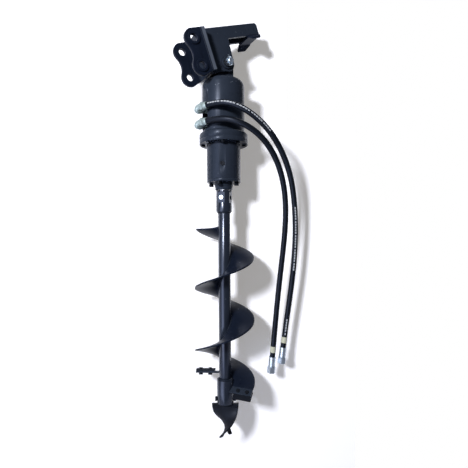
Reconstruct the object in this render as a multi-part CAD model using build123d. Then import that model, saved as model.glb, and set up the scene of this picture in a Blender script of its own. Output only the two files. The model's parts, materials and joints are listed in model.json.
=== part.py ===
from build123d import *
import os
from math import acos, cos, pi, radians, sin, sqrt, tan

# Earth auger drive with its cradle hitch, auger bit and hydraulic hoses, hanging in use.
# Millimetres, +Z up. Origin: centre of the dipper pin bore, with the pin along Y.
# X runs from the excavator ears towards the tip of the cradle arm.

# Hitch: the ears that take the two excavator pins
HITCH_LEAN = 19.5
PIN_BORE_R = 15.0
PIN_CENTRES = 106.0
PIN_BACK = 134.0
LINK_PIN_DROP = 3.0
EAR_GAP = 112.0
EAR_THICK = 14.0
EAR_LOBE_R = 38.0
EAR_WAIST_R = 60.0
EAR_BOSS_R = 25.0
EAR_BOSS_THICK = 5.0

# Hitch: base plate, side plates and cradle arm
BASE_THICK = 17.0
BASE_BACK = 74.0
BASE_TOP = 141.0
BASE_BOTTOM = 28.0
BASE_OVERHANG = 2.0
SIDE_GAP = 50.0
SIDE_THICK = 13.0
SIDE_NOSE_R = 34.0
SIDE_BOTTOM = 30.0
ARM_REACH = 201.0
ARM_TOP = 147.0
ARM_THROAT = 41.0
ARM_THROAT_R = 6.0
ARM_CHAMFER = 8.0
ARM_ROOF_THICK = 10.0
CRADLE_LENGTH = 61.0
CRADLE_CORNER = 21.0
CRADLE_WIDTH = 132.0
CRADLE_FLAT = 80.0
CRADLE_DROP = 18.0
CRADLE_THICK = 8.0
CRADLE_CLEARANCE = 1.5

# Pivot between the hitch and the drive
PIVOT_R = 10.0
PIVOT_HOLE_CLEARANCE = 0.2
PIVOT_BOSS_R = 24.0
PIVOT_BOSS_THICK = 6.0
PIVOT_WASHER_R = 18.5
PIVOT_WASHER_THICK = 3.0
PIVOT_NUT_FLATS = 30.0
PIVOT_NUT_HEIGHT = 22.0
PIVOT_NUT_SLOT_DEPTH = 8.0
PIVOT_NUT_SLOT_WIDTH = 5.5
PIVOT_HEAD_HEIGHT = 12.5
PIVOT_END = 6.0
SPLIT_PIN_R = 2.4
SPLIT_PIN_LENGTH = 36.0
BUSH_WALL = 6.0
RUNNING_CLEARANCE = 0.05

# Motor hood and the lug that hangs it
LUG_SIDE_CLEARANCE = 2.0
LUG_WIDTH = 75.0
LUG_NOSE_R = 36.0
HOOD_DROP = 64.0
HOOD_CLEARANCE = 6.5
HOOD_WALL = 8.5
HOOD_LENGTH = 225.5
HOOD_SHOULDER_R = 26.0
HOOD_ROOF = 12.0
HOOD_WINDOW_WIDTH = 50.0
HOOD_WINDOW_MARGIN = 21.0
HOOD_WINDOW_R = 8.0

# Bolted flange pair
FLANGE_LEDGE = 13.0
HOOD_FLANGE_THICK = 25.5
CASE_FLANGE_THICK = 18.0
FLANGE_CHAMFER = 3.0
FLANGE_BOLT_COUNT = 8
FLANGE_BOLT_OFFSET = 16.0
FLANGE_BOLT_EDGE = 15.0
FLANGE_BOLT_R = 5.0
FLANGE_BOLT_FLATS = 16.0
FLANGE_BOLT_HEAD = 7.0
FLANGE_BOLT_GRIP = 36.0
FLANGE_BOLT_TURN = 17.0
BOLT_CLEARANCE = 0.2

# Gear case, end cap and seal
CASE_WALL = 8.5
CASE_LENGTH = 147.0
CASE_WEB = 8.0
CAP_THICK = 12.0
CAP_BOSS_LENGTH = 16.0
CAP_BOSS_R = 40.5
CAP_BOSS_TAPER = 2.0
SEAL_CARRIER_LENGTH = 15.0
SEAL_CARRIER_R = 37.5
SEAL_CARRIER_TAPER = 2.0
SEAL_CARRIER_WALL = 4.5
SHAFT_GAP = 3.0
CAP_BOLT_COUNT = 4
CAP_BOLT_INSET = 13.5
CAP_BOLT_R = 5.0
CAP_BOLT_HEAD_R = 9.5
CAP_BOLT_HEAD = 14.0
CAP_BOLT_SOCKET_FLATS = 10.0
CAP_BOLT_SOCKET_DEPTH = 6.0
CAP_BOLT_GRIP = 30.0
CAP_BOLT_TURN = 42.0
PLUG_R = 9.0
PLUG_THREAD_R = 6.5
PLUG_HEAD = 5.0
PLUG_HEIGHT = 58.0
PLUG_TURN = -121.0
PLUG_SPOT = 1.5

# Output shaft, bearings and planetary set
SHAFT_R = 25.0
SHAFT_JOURNAL_R = 27.5
SHAFT_ENGAGEMENT = 75.0
BEARING_R = 45.0
BEARING_WIDTH = 22.0
BEARING_LIP = 2.0
CARRIER_THICK = 10.0
CARRIER_RIM = 6.0
CARRIER_GAP = 2.0
GEAR_MODULE = 2.5
SUN_TEETH = 12
PLANET_TEETH = 15
PLANET_COUNT = 3
PRESSURE_ANGLE = 25.0
TOOTH_ADDENDUM = 0.9
TOOTH_DEDENDUM = 1.25
TOOTH_BACKLASH = 0.16
FLANK_STEPS = 4
GEAR_FACE = 30.0
RING_FACE_EXTRA = 4.0
RING_RIM = 6.4
PLANET_PIN_R = 8.0
PLANET_PIN_HEAD_R = 11.0
PLANET_PIN_HEAD = 3.0
SUN_SHAFT_R = 9.0
SUN_SHAFT_ENGAGEMENT = 26.0
SUN_SHAFT_END_GAP = 2.0

# Hydraulic motor inside the hood
ADAPTOR_THICK = 15.0
ADAPTOR_BORE_R = 30.0
MOTOR_FLANGE_THICK = 14.0
MOTOR_LENGTH = 175.0
MOTOR_EDGE_R = 6.0
MOTOR_PORT_FACE = 62.0
MOTOR_PORT_WIDTH = 42.0
MOTOR_PORT_MARGIN = 24.0
MOTOR_BOLT_R = 6.0
MOTOR_BOLT_RIM = 0.875
MOTOR_BOLT_GAP = 0.15
MOTOR_BOLT_EDGE = 13.0
MOTOR_BOLT_HEAD_R = 9.0
MOTOR_BOLT_HEAD = 10.0
MOTOR_BOLT_GRIP = 40.0

# Hydraulic fittings and hoses
PORT_SPACING = 64.0
PORT_LOWER_RISE = 33.5
STEM_R = 11.0
STEM_FLATS = 30.0
STEM_HEX_LENGTH = 14.0
ELBOW_STANDOFF = 32.5
ELBOW_R = 13.0
ELBOW_KNUCKLE_R = 15.0
ELBOW_INLET = 36.0
ELBOW_OUTLET = 23.5
OUTLET_TURN = -63.0
SWIVEL_FLATS = 30.0
SWIVEL_LENGTH = 13.0
FERRULE_R = 14.5
FERRULE_LENGTH = 17.5
HOSE_R = 12.0
END_FERRULE_LENGTH = 44.0
END_NUT_FLATS = 32.0
END_NUT_LENGTH = 27.0
END_NUT_BORE_R = 9.0
END_NUT_BORE_DEPTH = 14.0

# Auger bit
HUB_R = 33.0
HUB_LENGTH = 91.0
HUB_CLEARANCE = 0.1
HUB_EDGE_R = 6.0
HUB_FLAT_WIDTH = 29.0
HUB_FLAT_TOP = 7.0
HUB_FLAT_LENGTH = 44.0
HUB_FLAT_TURN = -139.0
HUB_PIN_R = 9.0
HUB_PIN_DROP = 29.0
HUB_PIN_PROUD = 2.5
TUBE_R = 25.4
TUBE_WALL = 6.0
AUGER_R = 125.0
FLIGHT_PITCH = 259.3
FLIGHT_THICK = 6.0
FLIGHT_BOTTOM_DROP = 818.0
FLIGHT_BOTTOM_TURN = -53.0
FLIGHT_TURNS = 2.57
FLIGHT_TRIM = 16.0
SOCKET_DROP = 791.0
SOCKET_LENGTH = 98.0
SOCKET_R = 34.5
SOCKET_TUBE_SEAT = 24.0
SHANK_R = 20.0
SHANK_ENGAGEMENT = 66.0
SHANK_CLEARANCE = 0.1
PILOT_BOLT_R = 6.0
PILOT_BOLT_FLATS = 18.0
PILOT_BOLT_HEAD = 8.0
PILOT_NUT_HEIGHT = 10.0
PILOT_BOLT_END = 5.0
PILOT_BOLT_RISE = 15.0
PILOT_BOLT_TURN = 152.0

# Fishtail pilot: a twisted blade that ends in two prongs
PILOT_SHOULDER = 5.0
PILOT_LENGTH = 135.0
PILOT_TOP_WIDTH = 112.0
PILOT_TIP_WIDTH = 60.0
PILOT_THICK = 14.0
PILOT_TIP_THICK = 8.0
PILOT_TWIST = 146.0
PILOT_TWIST_RISE = 1.7
PILOT_STATIONS = 11
PILOT_BELLY = 1.4
PILOT_NOTCH_WIDTH = 32.0
PILOT_NOTCH_HEIGHT = 46.0
PILOT_TURN = -28.0

# Cutters: a holder bar and a bolted tooth at the flight end, and a second pair opposite
HOLDER_INNER_R = 24.0
HOLDER_WIDTH = 28.0
HOLDER_THICK = 8.0
HOLDER_SLOPE = 42.0
SECOND_HOLDER_SLOPE = 14.0
SECOND_HOLDER_DROP = 764.0
SECOND_HOLDER_TURN = 148.0
TOOTH_INNER_R = 46.0
TOOTH_WIDTH = 42.0
TOOTH_SETBACK = 6.0
TOOTH_THICK = 8.0
TOOTH_BEVEL = 6.0
TOOTH_BOLT_R = 5.0
TOOTH_BOLT_HEAD_R = 7.5
TOOTH_BOLT_HEAD = 5.0
TOOTH_NUT_FLATS = 16.0
TOOTH_NUT_HEIGHT = 8.0
TOOTH_BOLT_SPACING = 40.0
TOOTH_BOLT_INSET = 16.0

# Places worked out from the sizes above, on the drive axis with the pivot at zero
DIPPER_PIN_RISE = PIN_CENTRES - LINK_PIN_DROP
EAR_OUTER = EAR_GAP / 2 + EAR_THICK
SIDE_INNER = SIDE_GAP / 2
SIDE_OUTER = SIDE_INNER + SIDE_THICK
SUN_PITCH_R = GEAR_MODULE * SUN_TEETH / 2
PLANET_PITCH_R = GEAR_MODULE * PLANET_TEETH / 2
RING_TEETH = SUN_TEETH + 2 * PLANET_TEETH
PLANET_ORBIT_R = SUN_PITCH_R + PLANET_PITCH_R
CASE_BORE_R = GEAR_MODULE * (RING_TEETH / 2 + TOOTH_DEDENDUM) + RING_RIM
CASE_R = CASE_BORE_R + CASE_WALL
CAP_BOLT_CIRCLE_R = CASE_R - CAP_BOLT_INSET
FLANGE_BOLT_CIRCLE_R = CASE_R + FLANGE_BOLT_OFFSET
MOTOR_BOLT_CIRCLE_R = CASE_BORE_R - MOTOR_BOLT_R - MOTOR_BOLT_RIM
MOTOR_R = MOTOR_BOLT_CIRCLE_R - MOTOR_BOLT_HEAD_R - MOTOR_BOLT_GAP
MOTOR_FLANGE = MOTOR_BOLT_CIRCLE_R * sqrt(2) + 2 * MOTOR_BOLT_EDGE
HOOD_R = MOTOR_FLANGE / sqrt(2) + HOOD_CLEARANCE + HOOD_WALL
FLANGE_R = max(FLANGE_BOLT_CIRCLE_R + FLANGE_BOLT_EDGE, HOOD_R + FLANGE_LEDGE)
ARM_BOTTOM = HOOD_R + CRADLE_CLEARANCE + CRADLE_THICK
ELBOW_REACH = HOOD_R + ELBOW_STANDOFF
HOOD_TOP_Z = -HOOD_DROP
HOOD_BOTTOM_Z = HOOD_TOP_Z - HOOD_LENGTH
PORT_LOWER_Z = HOOD_BOTTOM_Z + PORT_LOWER_RISE
PORT_UPPER_Z = PORT_LOWER_Z + PORT_SPACING
JOINT_Z = HOOD_BOTTOM_Z - HOOD_FLANGE_THICK
CASE_FLANGE_Z = JOINT_Z - CASE_FLANGE_THICK
CASE_BOTTOM_Z = CASE_FLANGE_Z - CASE_LENGTH
CAP_BOTTOM_Z = CASE_BOTTOM_Z - CAP_THICK
CAP_BOSS_Z = CAP_BOTTOM_Z - CAP_BOSS_LENGTH
SEAL_CARRIER_Z = CAP_BOSS_Z - SEAL_CARRIER_LENGTH
HUB_TOP_Z = SEAL_CARRIER_Z - SHAFT_GAP
LOWER_BEARING_Z = CASE_BOTTOM_Z + BEARING_LIP
UPPER_BEARING_Z = LOWER_BEARING_Z + BEARING_WIDTH + CASE_WEB
CAVITY_FLOOR_Z = UPPER_BEARING_Z + BEARING_WIDTH
CARRIER_Z = CAVITY_FLOOR_Z + CARRIER_GAP
CARRIER_TOP_Z = CARRIER_Z + CARRIER_THICK
GEAR_Z = CARRIER_TOP_Z + CARRIER_GAP
GEAR_TOP_Z = GEAR_Z + GEAR_FACE
MOTOR_FLANGE_TOP_Z = JOINT_Z + MOTOR_FLANGE_THICK
SOCKET_TOP_Z = HUB_TOP_Z - SOCKET_DROP
SOCKET_BOTTOM_Z = SOCKET_TOP_Z - SOCKET_LENGTH
PILOT_TOP_Z = SOCKET_BOTTOM_Z - PILOT_SHOULDER
TUBE_TOP_Z = HUB_TOP_Z - HUB_LENGTH

# The pivot's place in the row frame follows from the lean of the hitch
LEAN = radians(HITCH_LEAN)
PIVOT_X = PIN_BACK * cos(LEAN) + DIPPER_PIN_RISE * sin(LEAN)
PIVOT_Z = PIN_BACK * sin(LEAN) - DIPPER_PIN_RISE * cos(LEAN)
DRIVE_PLACE = Location((PIVOT_X, 0, PIVOT_Z))
HITCH_PLACE = Location((PIVOT_X, 0, PIVOT_Z), (0, -HITCH_LEAN, 0))

# Hose routes chosen by hand: X and Y from the drive axis, and the height above the hose's own port
OUTLET = Vector(cos(radians(OUTLET_TURN)), sin(radians(OUTLET_TURN)), 0)
HOSE_START = ELBOW_OUTLET + SWIVEL_LENGTH + FERRULE_LENGTH
HOSE_FIRST_RUN = 64.0
UPPER_ROUTE = [
    (-21, -149, -16),
    (44, -172, -52),
    (120, -174, -108),
    (190, -160, -184),
    (243, -143, -276),
    (273, -126, -378),
    (287, -114, -488),
    (289.5, -103, -598),
    (284, -93, -708),
    (272, -79, -832),
    (262, -69.5, -923),
    (253.6, -62.4, -1012),
]
LOWER_ROUTE = [
    (-21, -149, -14),
    (44, -172, -46),
    (112, -168, -94),
    (171, -151, -160),
    (211, -134, -238),
    (233, -118, -319),
    (241, -105, -404),
    (240.5, -91, -499),
    (234.5, -77, -604),
    (228, -64.6, -709),
    (221, -54, -824),
    (215.5, -47.5, -909),
    (210.4, -41.7, -989),
]
FILLET_SHARE = 0.45

NODES = {}


def save(name, shape, place=None):
    """Keep a finished piece under its node name, moved to its place in the row frame."""
    NODES[name] = shape.moved(place) if place else shape


def plate(sketch_face, low, high):
    """Extrude a profile drawn in X and Z, from y = low to y = high."""
    return extrude(Plane.XZ.offset(-low) * sketch_face, low - high)


def disc(radius, low, high):
    """A cylinder on the Z axis between two heights."""
    return Pos(0, 0, (low + high) / 2) * Cylinder(radius, high - low)


def cross_disc(radius, low, high):
    """A cylinder on the Y axis between two places along it."""
    return Pos(0, (low + high) / 2, 0) * Rot(X=90) * Cylinder(radius, high - low)


def hexagon(flats, low, high):
    """A hexagonal prism on the Z axis between two heights."""
    face = RegularPolygon(flats / 2, 6, major_radius=False)
    return extrude(Pos(0, 0, low) * face, high - low)


def ring_of(shape, count, turn=0.0):
    """Copies of a shape, evenly turned about the Z axis."""
    return [Rot(Z=turn + 360 * i / count) * shape for i in range(count)]


def tapered(low_r, high_r, low, high):
    """A plain cone frustum on the Z axis."""
    return Pos(0, 0, (low + high) / 2) * Cone(low_r, high_r, high - low)


def along(origin, direction):
    """A place at origin whose Z axis points along direction."""
    return Location(Plane(origin=origin, z_dir=direction))


# Hitch: ears, bosses, plates and cradle, drawn square to the hitch with the pivot at zero
def ear_profile():
    """Two round lobes with a concave waist between them, cut straight at the base plate."""
    upper = DIPPER_PIN_RISE
    lower = -LINK_PIN_DROP
    middle = (upper + lower) / 2
    reach = EAR_LOBE_R + EAR_WAIST_R
    waist_back = sqrt(reach ** 2 - (PIN_CENTRES / 2) ** 2)
    tangent_x = -PIN_BACK - EAR_LOBE_R * waist_back / reach
    tangent_z = EAR_LOBE_R * PIN_CENTRES / 2 / reach
    root = -BASE_BACK - BASE_THICK
    outline = Polyline(
        (tangent_x, upper - tangent_z),
        (-PIN_BACK, upper + EAR_LOBE_R),
        (root, BASE_TOP),
        (root, -BASE_BOTTOM),
        (-PIN_BACK, lower - EAR_LOBE_R),
        (tangent_x, lower + tangent_z),
        close=True,
    )
    body = make_face(outline)
    body += Pos(-PIN_BACK, upper) * Circle(EAR_LOBE_R)
    body += Pos(-PIN_BACK, lower) * Circle(EAR_LOBE_R)
    body -= Pos(-PIN_BACK - waist_back, middle) * Circle(EAR_WAIST_R)
    for height in (upper, lower):
        body -= Pos(-PIN_BACK, height) * Circle(PIN_BORE_R)
    return body


def make_ears():
    """The two ear plates and the turned bosses on their outer faces."""
    profile = ear_profile()
    save("ear_plate_front", plate(profile, -EAR_OUTER, -EAR_GAP / 2), HITCH_PLACE)
    save("ear_plate_rear", plate(profile, EAR_GAP / 2, EAR_OUTER), HITCH_PLACE)
    ring = Circle(EAR_BOSS_R) - Circle(PIN_BORE_R)
    for name, height in (("dipper_pin_bosses", DIPPER_PIN_RISE), ("link_pin_bosses", -LINK_PIN_DROP)):
        face = Pos(-PIN_BACK, height) * ring
        front = plate(face, -EAR_OUTER - EAR_BOSS_THICK, -EAR_OUTER)
        rear = plate(face, EAR_OUTER, EAR_OUTER + EAR_BOSS_THICK)
        save(name, Compound([front, rear]), HITCH_PLACE)


def side_profile():
    """The side plate: a deep body round the pivot and the arm that reaches over the drive."""
    outline = Polyline(
        (-BASE_BACK, ARM_TOP),
        (ARM_REACH - ARM_CHAMFER, ARM_TOP),
        (ARM_REACH, ARM_TOP - ARM_CHAMFER),
        (ARM_REACH, ARM_BOTTOM),
        (ARM_THROAT, ARM_BOTTOM),
        (SIDE_NOSE_R, 0),
        (0, 0),
        (0, -SIDE_BOTTOM),
        (-BASE_BACK, -SIDE_BOTTOM),
        close=True,
    )
    body = make_face(outline)
    throat = body.vertices().sort_by_distance((ARM_THROAT, ARM_BOTTOM))[0]
    body = fillet(throat, ARM_THROAT_R)
    body += Circle(SIDE_NOSE_R)
    return body - Circle(PIVOT_R + PIVOT_HOLE_CLEARANCE)


def make_hitch_body():
    """Base plate, two side plates, arm roof and cradle."""
    base_half = EAR_OUTER + BASE_OVERHANG
    base = Box(BASE_THICK, 2 * base_half, BASE_TOP + BASE_BOTTOM)
    base = Pos(-BASE_BACK - BASE_THICK / 2, 0, (BASE_TOP - BASE_BOTTOM) / 2) * base
    save("base_plate", base, HITCH_PLACE)
    profile = side_profile()
    save("side_plate_front", plate(profile, -SIDE_OUTER, -SIDE_INNER), HITCH_PLACE)
    save("side_plate_rear", plate(profile, SIDE_INNER, SIDE_OUTER), HITCH_PLACE)
    roof_length = BASE_BACK + ARM_REACH - ARM_CHAMFER
    roof = Box(roof_length, SIDE_GAP, ARM_ROOF_THICK)
    roof_x = (ARM_REACH - ARM_CHAMFER - BASE_BACK) / 2
    save("arm_roof", Pos(roof_x, 0, ARM_TOP - ARM_ROOF_THICK / 2) * roof, HITCH_PLACE)
    half = CRADLE_WIDTH / 2
    flat = CRADLE_FLAT / 2
    low = ARM_BOTTOM - CRADLE_THICK
    outline = Polyline(
        (-half, low - CRADLE_DROP),
        (-flat, low),
        (flat, low),
        (half, low - CRADLE_DROP),
        (half, ARM_BOTTOM - CRADLE_DROP),
        (flat, ARM_BOTTOM),
        (-flat, ARM_BOTTOM),
        (-half, ARM_BOTTOM - CRADLE_DROP),
        close=True,
    )
    start = ARM_REACH - CRADLE_LENGTH
    cradle = extrude(Plane.YZ.offset(start) * make_face(outline), CRADLE_LENGTH)
    corners = make_face(Polyline(
        (start, -half),
        (ARM_REACH - CRADLE_CORNER, -half),
        (ARM_REACH, CRADLE_CORNER - half),
        (ARM_REACH, half - CRADLE_CORNER),
        (ARM_REACH - CRADLE_CORNER, half),
        (start, half),
        close=True,
    ))
    cradle &= extrude(corners, ARM_TOP)
    save("cradle_saddle", cradle, HITCH_PLACE)


def make_pivot():
    """Bosses, bolt, washers, castle nut and split pin of the swing pivot."""
    hole_r = PIVOT_R + PIVOT_HOLE_CLEARANCE
    boss_out = SIDE_OUTER + PIVOT_BOSS_THICK
    washer_out = boss_out + PIVOT_WASHER_THICK
    boss = cross_disc(PIVOT_BOSS_R, SIDE_OUTER, boss_out) - cross_disc(hole_r, SIDE_OUTER, boss_out)
    save("pivot_bosses", Compound([boss, mirror(boss, Plane.XZ)]), HITCH_PLACE)
    washer = cross_disc(PIVOT_WASHER_R, boss_out, washer_out) - cross_disc(hole_r, boss_out, washer_out)
    save("pivot_washers", Compound([washer, mirror(washer, Plane.XZ)]), HITCH_PLACE)
    nut_out = washer_out + PIVOT_NUT_HEIGHT
    bolt_end = nut_out + PIVOT_END
    head_out = washer_out + PIVOT_HEAD_HEIGHT
    slot_y = -(nut_out - PIVOT_NUT_SLOT_DEPTH / 2)
    split_hole = Pos(0, slot_y, 0) * Cylinder(SPLIT_PIN_R, 3 * PIVOT_R)
    facing = Rot(X=90)
    bolt = cross_disc(PIVOT_R, -bolt_end, washer_out)
    bolt += facing * hexagon(PIVOT_NUT_FLATS, -head_out, -washer_out)
    bolt = chamfer(bolt.faces().sort_by(Axis.Y)[0].edges(), PIVOT_END / 4)
    save("pivot_bolt", bolt - split_hole, HITCH_PLACE)
    nut = facing * hexagon(PIVOT_NUT_FLATS, washer_out, nut_out)
    nut -= cross_disc(PIVOT_R, -nut_out, -washer_out)
    slot = Box(PIVOT_NUT_SLOT_WIDTH, PIVOT_NUT_SLOT_DEPTH, 2 * PIVOT_NUT_FLATS)
    for turn in (0, 60, 120):
        nut -= Pos(0, slot_y, 0) * Rot(Y=turn) * slot
    save("castle_nut", nut, HITCH_PLACE)
    split_pin = Pos(0, slot_y, 0) * Cylinder(SPLIT_PIN_R, SPLIT_PIN_LENGTH)
    save("split_pin", split_pin, HITCH_PLACE)


# Drive: lug, bush, hood and flange
def make_hood():
    """The hanging lug with its bush, the bell-shaped hood and its bolted flange ring."""
    half = SIDE_INNER - LUG_SIDE_CLEARANCE
    profile = Pos(0, -HOOD_DROP / 2) * Rectangle(LUG_WIDTH, HOOD_DROP)
    profile += Circle(LUG_NOSE_R)
    profile -= Circle(PIVOT_R + BUSH_WALL)
    save("hanger_lug", plate(profile, -half, half), DRIVE_PLACE)
    bush = cross_disc(PIVOT_R + BUSH_WALL, -half, half)
    save("pivot_bush", bush - cross_disc(PIVOT_R + RUNNING_CLEARANCE, -half, half), DRIVE_PLACE)
    inner_r = HOOD_R - HOOD_WALL
    outer = disc(HOOD_R, HOOD_BOTTOM_Z, HOOD_TOP_Z)
    outer = fillet(outer.edges().group_by(Axis.Z)[-1], HOOD_SHOULDER_R)
    inner = disc(inner_r, HOOD_BOTTOM_Z, HOOD_TOP_Z - HOOD_ROOF)
    inner = fillet(inner.edges().group_by(Axis.Z)[-1], HOOD_SHOULDER_R - HOOD_WALL)
    window_height = PORT_SPACING + 2 * HOOD_WINDOW_MARGIN
    window_z = (PORT_LOWER_Z + PORT_UPPER_Z) / 2
    window_face = RectangleRounded(window_height, HOOD_WINDOW_WIDTH, HOOD_WINDOW_R)
    window = Pos(-HOOD_R, 0, window_z) * Rot(Y=90) * extrude(window_face, HOOD_R / 2, both=True)
    save("motor_hood", outer - inner - window, DRIVE_PLACE)
    hole = Pos(FLANGE_BOLT_CIRCLE_R, 0, 0) * disc(
        FLANGE_BOLT_R + BOLT_CLEARANCE, CASE_FLANGE_Z, CASE_FLANGE_Z + FLANGE_BOLT_GRIP
    )
    holes = ring_of(hole, FLANGE_BOLT_COUNT, FLANGE_BOLT_TURN)
    flange = disc(FLANGE_R, JOINT_Z, HOOD_BOTTOM_Z)
    flange = chamfer(flange.edges().group_by(Axis.Z)[-1], FLANGE_CHAMFER)
    flange -= disc(inner_r, JOINT_Z, HOOD_BOTTOM_Z)
    save("hood_flange", flange - holes, DRIVE_PLACE)
    head = hexagon(FLANGE_BOLT_FLATS, CASE_FLANGE_Z - FLANGE_BOLT_HEAD, CASE_FLANGE_Z)
    bolt = head + disc(FLANGE_BOLT_R, CASE_FLANGE_Z, CASE_FLANGE_Z + FLANGE_BOLT_GRIP)
    bolt = Pos(FLANGE_BOLT_CIRCLE_R, 0, 0) * bolt
    save("flange_bolts", Compound(ring_of(bolt, FLANGE_BOLT_COUNT, FLANGE_BOLT_TURN)), DRIVE_PLACE)
    return holes


def make_case(flange_holes):
    """The gear case, its end cap, seal carrier, bearings, seal, bolts and oil plug."""
    case = disc(FLANGE_R, CASE_FLANGE_Z, JOINT_Z) + disc(CASE_R, CASE_BOTTOM_Z, CASE_FLANGE_Z)
    case -= disc(CASE_BORE_R, CAVITY_FLOOR_Z, JOINT_Z)
    case -= disc(BEARING_R, UPPER_BEARING_Z, CAVITY_FLOOR_Z)
    case -= disc(BEARING_R, CASE_BOTTOM_Z, LOWER_BEARING_Z + BEARING_WIDTH)
    case -= disc(BEARING_R - CASE_WEB, CASE_BOTTOM_Z, CAVITY_FLOOR_Z)
    case -= flange_holes
    cap_bolt_top = CAP_BOTTOM_Z + CAP_BOLT_GRIP
    cap_hole = disc(CAP_BOLT_R + BOLT_CLEARANCE, CAP_BOTTOM_Z, cap_bolt_top)
    cap_holes = ring_of(Pos(CAP_BOLT_CIRCLE_R, 0, 0) * cap_hole, CAP_BOLT_COUNT, CAP_BOLT_TURN)
    case -= cap_holes
    plug_z = CASE_BOTTOM_Z + PLUG_HEIGHT
    plug_place = Rot(Z=PLUG_TURN) * Pos(CASE_R - PLUG_SPOT, 0, plug_z) * Rot(Y=90)
    spot = plug_place * disc(PLUG_R + PLUG_SPOT, 0, CASE_WALL)
    thread = plug_place * disc(PLUG_THREAD_R, -CASE_WALL, 0)
    save("gear_case", case - spot - thread, DRIVE_PLACE)
    plug = disc(PLUG_R, 0, PLUG_HEAD) + disc(PLUG_THREAD_R, PLUG_SPOT - CASE_WALL, 0)
    plug -= hexagon(PLUG_R, PLUG_HEAD / 2, PLUG_HEAD)
    save("oil_plug", plug_place * plug, DRIVE_PLACE)
    lip = disc(BEARING_R, CASE_BOTTOM_Z, LOWER_BEARING_Z)
    bore_r = SHAFT_R + BEARING_LIP
    cap = disc(CASE_R, CAP_BOTTOM_Z, CASE_BOTTOM_Z) + lip
    cap += tapered(CAP_BOSS_R - CAP_BOSS_TAPER, CAP_BOSS_R, CAP_BOSS_Z, CAP_BOTTOM_Z)
    cap -= disc(SHAFT_JOURNAL_R + BEARING_LIP, CAP_BOTTOM_Z, LOWER_BEARING_Z)
    cap -= disc(bore_r, CAP_BOSS_Z, CAP_BOTTOM_Z)
    save("end_cap", cap - cap_holes, DRIVE_PLACE)
    seal_r = SEAL_CARRIER_R - SEAL_CARRIER_TAPER - SEAL_CARRIER_WALL
    carrier = tapered(SEAL_CARRIER_R - SEAL_CARRIER_TAPER, SEAL_CARRIER_R, SEAL_CARRIER_Z, CAP_BOSS_Z)
    save("seal_carrier", carrier - disc(seal_r, SEAL_CARRIER_Z, CAP_BOSS_Z), DRIVE_PLACE)
    seal = disc(seal_r, SEAL_CARRIER_Z, CAP_BOSS_Z)
    seal -= disc(SHAFT_R + RUNNING_CLEARANCE, SEAL_CARRIER_Z, CAP_BOSS_Z)
    save("shaft_seal", seal, DRIVE_PLACE)
    for name, low in (("lower_bearing", LOWER_BEARING_Z), ("upper_bearing", UPPER_BEARING_Z)):
        ring = disc(BEARING_R, low, low + BEARING_WIDTH)
        ring -= disc(SHAFT_JOURNAL_R + RUNNING_CLEARANCE, low, low + BEARING_WIDTH)
        save(name, ring, DRIVE_PLACE)
    head = disc(CAP_BOLT_HEAD_R, CAP_BOTTOM_Z - CAP_BOLT_HEAD, CAP_BOTTOM_Z)
    bolt = head + disc(CAP_BOLT_R, CAP_BOTTOM_Z, cap_bolt_top)
    socket_low = CAP_BOTTOM_Z - CAP_BOLT_HEAD
    bolt -= hexagon(CAP_BOLT_SOCKET_FLATS, socket_low, socket_low + CAP_BOLT_SOCKET_DEPTH)
    bolt = Pos(CAP_BOLT_CIRCLE_R, 0, 0) * bolt
    save("cap_bolts", Compound(ring_of(bolt, CAP_BOLT_COUNT, CAP_BOLT_TURN)), DRIVE_PLACE)


# Planetary set: involute teeth from the base circle, with backlash
def flank_points(teeth, low_r, high_r, extra):
    """Half-tooth outline (radius, half angle) from low_r to high_r along one involute flank."""
    pitch_r = GEAR_MODULE * teeth / 2
    base_r = pitch_r * cos(radians(PRESSURE_ANGLE))
    pressure = radians(PRESSURE_ANGLE)
    half_pitch = (pi * GEAR_MODULE / 2 + extra) / (2 * pitch_r)
    start_r = max(low_r, base_r)
    points = []
    if low_r < base_r:
        points.append((low_r, half_pitch + tan(pressure) - pressure))
    for i in range(FLANK_STEPS):
        radius = start_r + (high_r - start_r) * i / (FLANK_STEPS - 1)
        angle = acos(min(1.0, base_r / radius))
        points.append((radius, half_pitch + tan(pressure) - pressure - tan(angle) + angle))
    return points


def toothed_face(teeth, low_r, high_r, extra):
    """A closed outline of teeth, with the first tooth centred on X."""
    flank = flank_points(teeth, low_r, high_r, extra)
    corners = []
    for i in range(teeth):
        middle = 2 * pi * i / teeth
        for radius, half in flank:
            corners.append((radius * cos(middle - half), radius * sin(middle - half)))
        for radius, half in reversed(flank):
            corners.append((radius * cos(middle + half), radius * sin(middle + half)))
    return make_face(Polyline(*corners, close=True))


def external_gear(teeth, low, high):
    """A spur gear on the Z axis between two heights."""
    pitch_r = GEAR_MODULE * teeth / 2
    root_r = pitch_r - TOOTH_DEDENDUM * GEAR_MODULE
    tip_r = pitch_r + TOOTH_ADDENDUM * GEAR_MODULE
    face = toothed_face(teeth, root_r, tip_r, -TOOTH_BACKLASH)
    return extrude(Pos(0, 0, low) * face, high - low)


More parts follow.
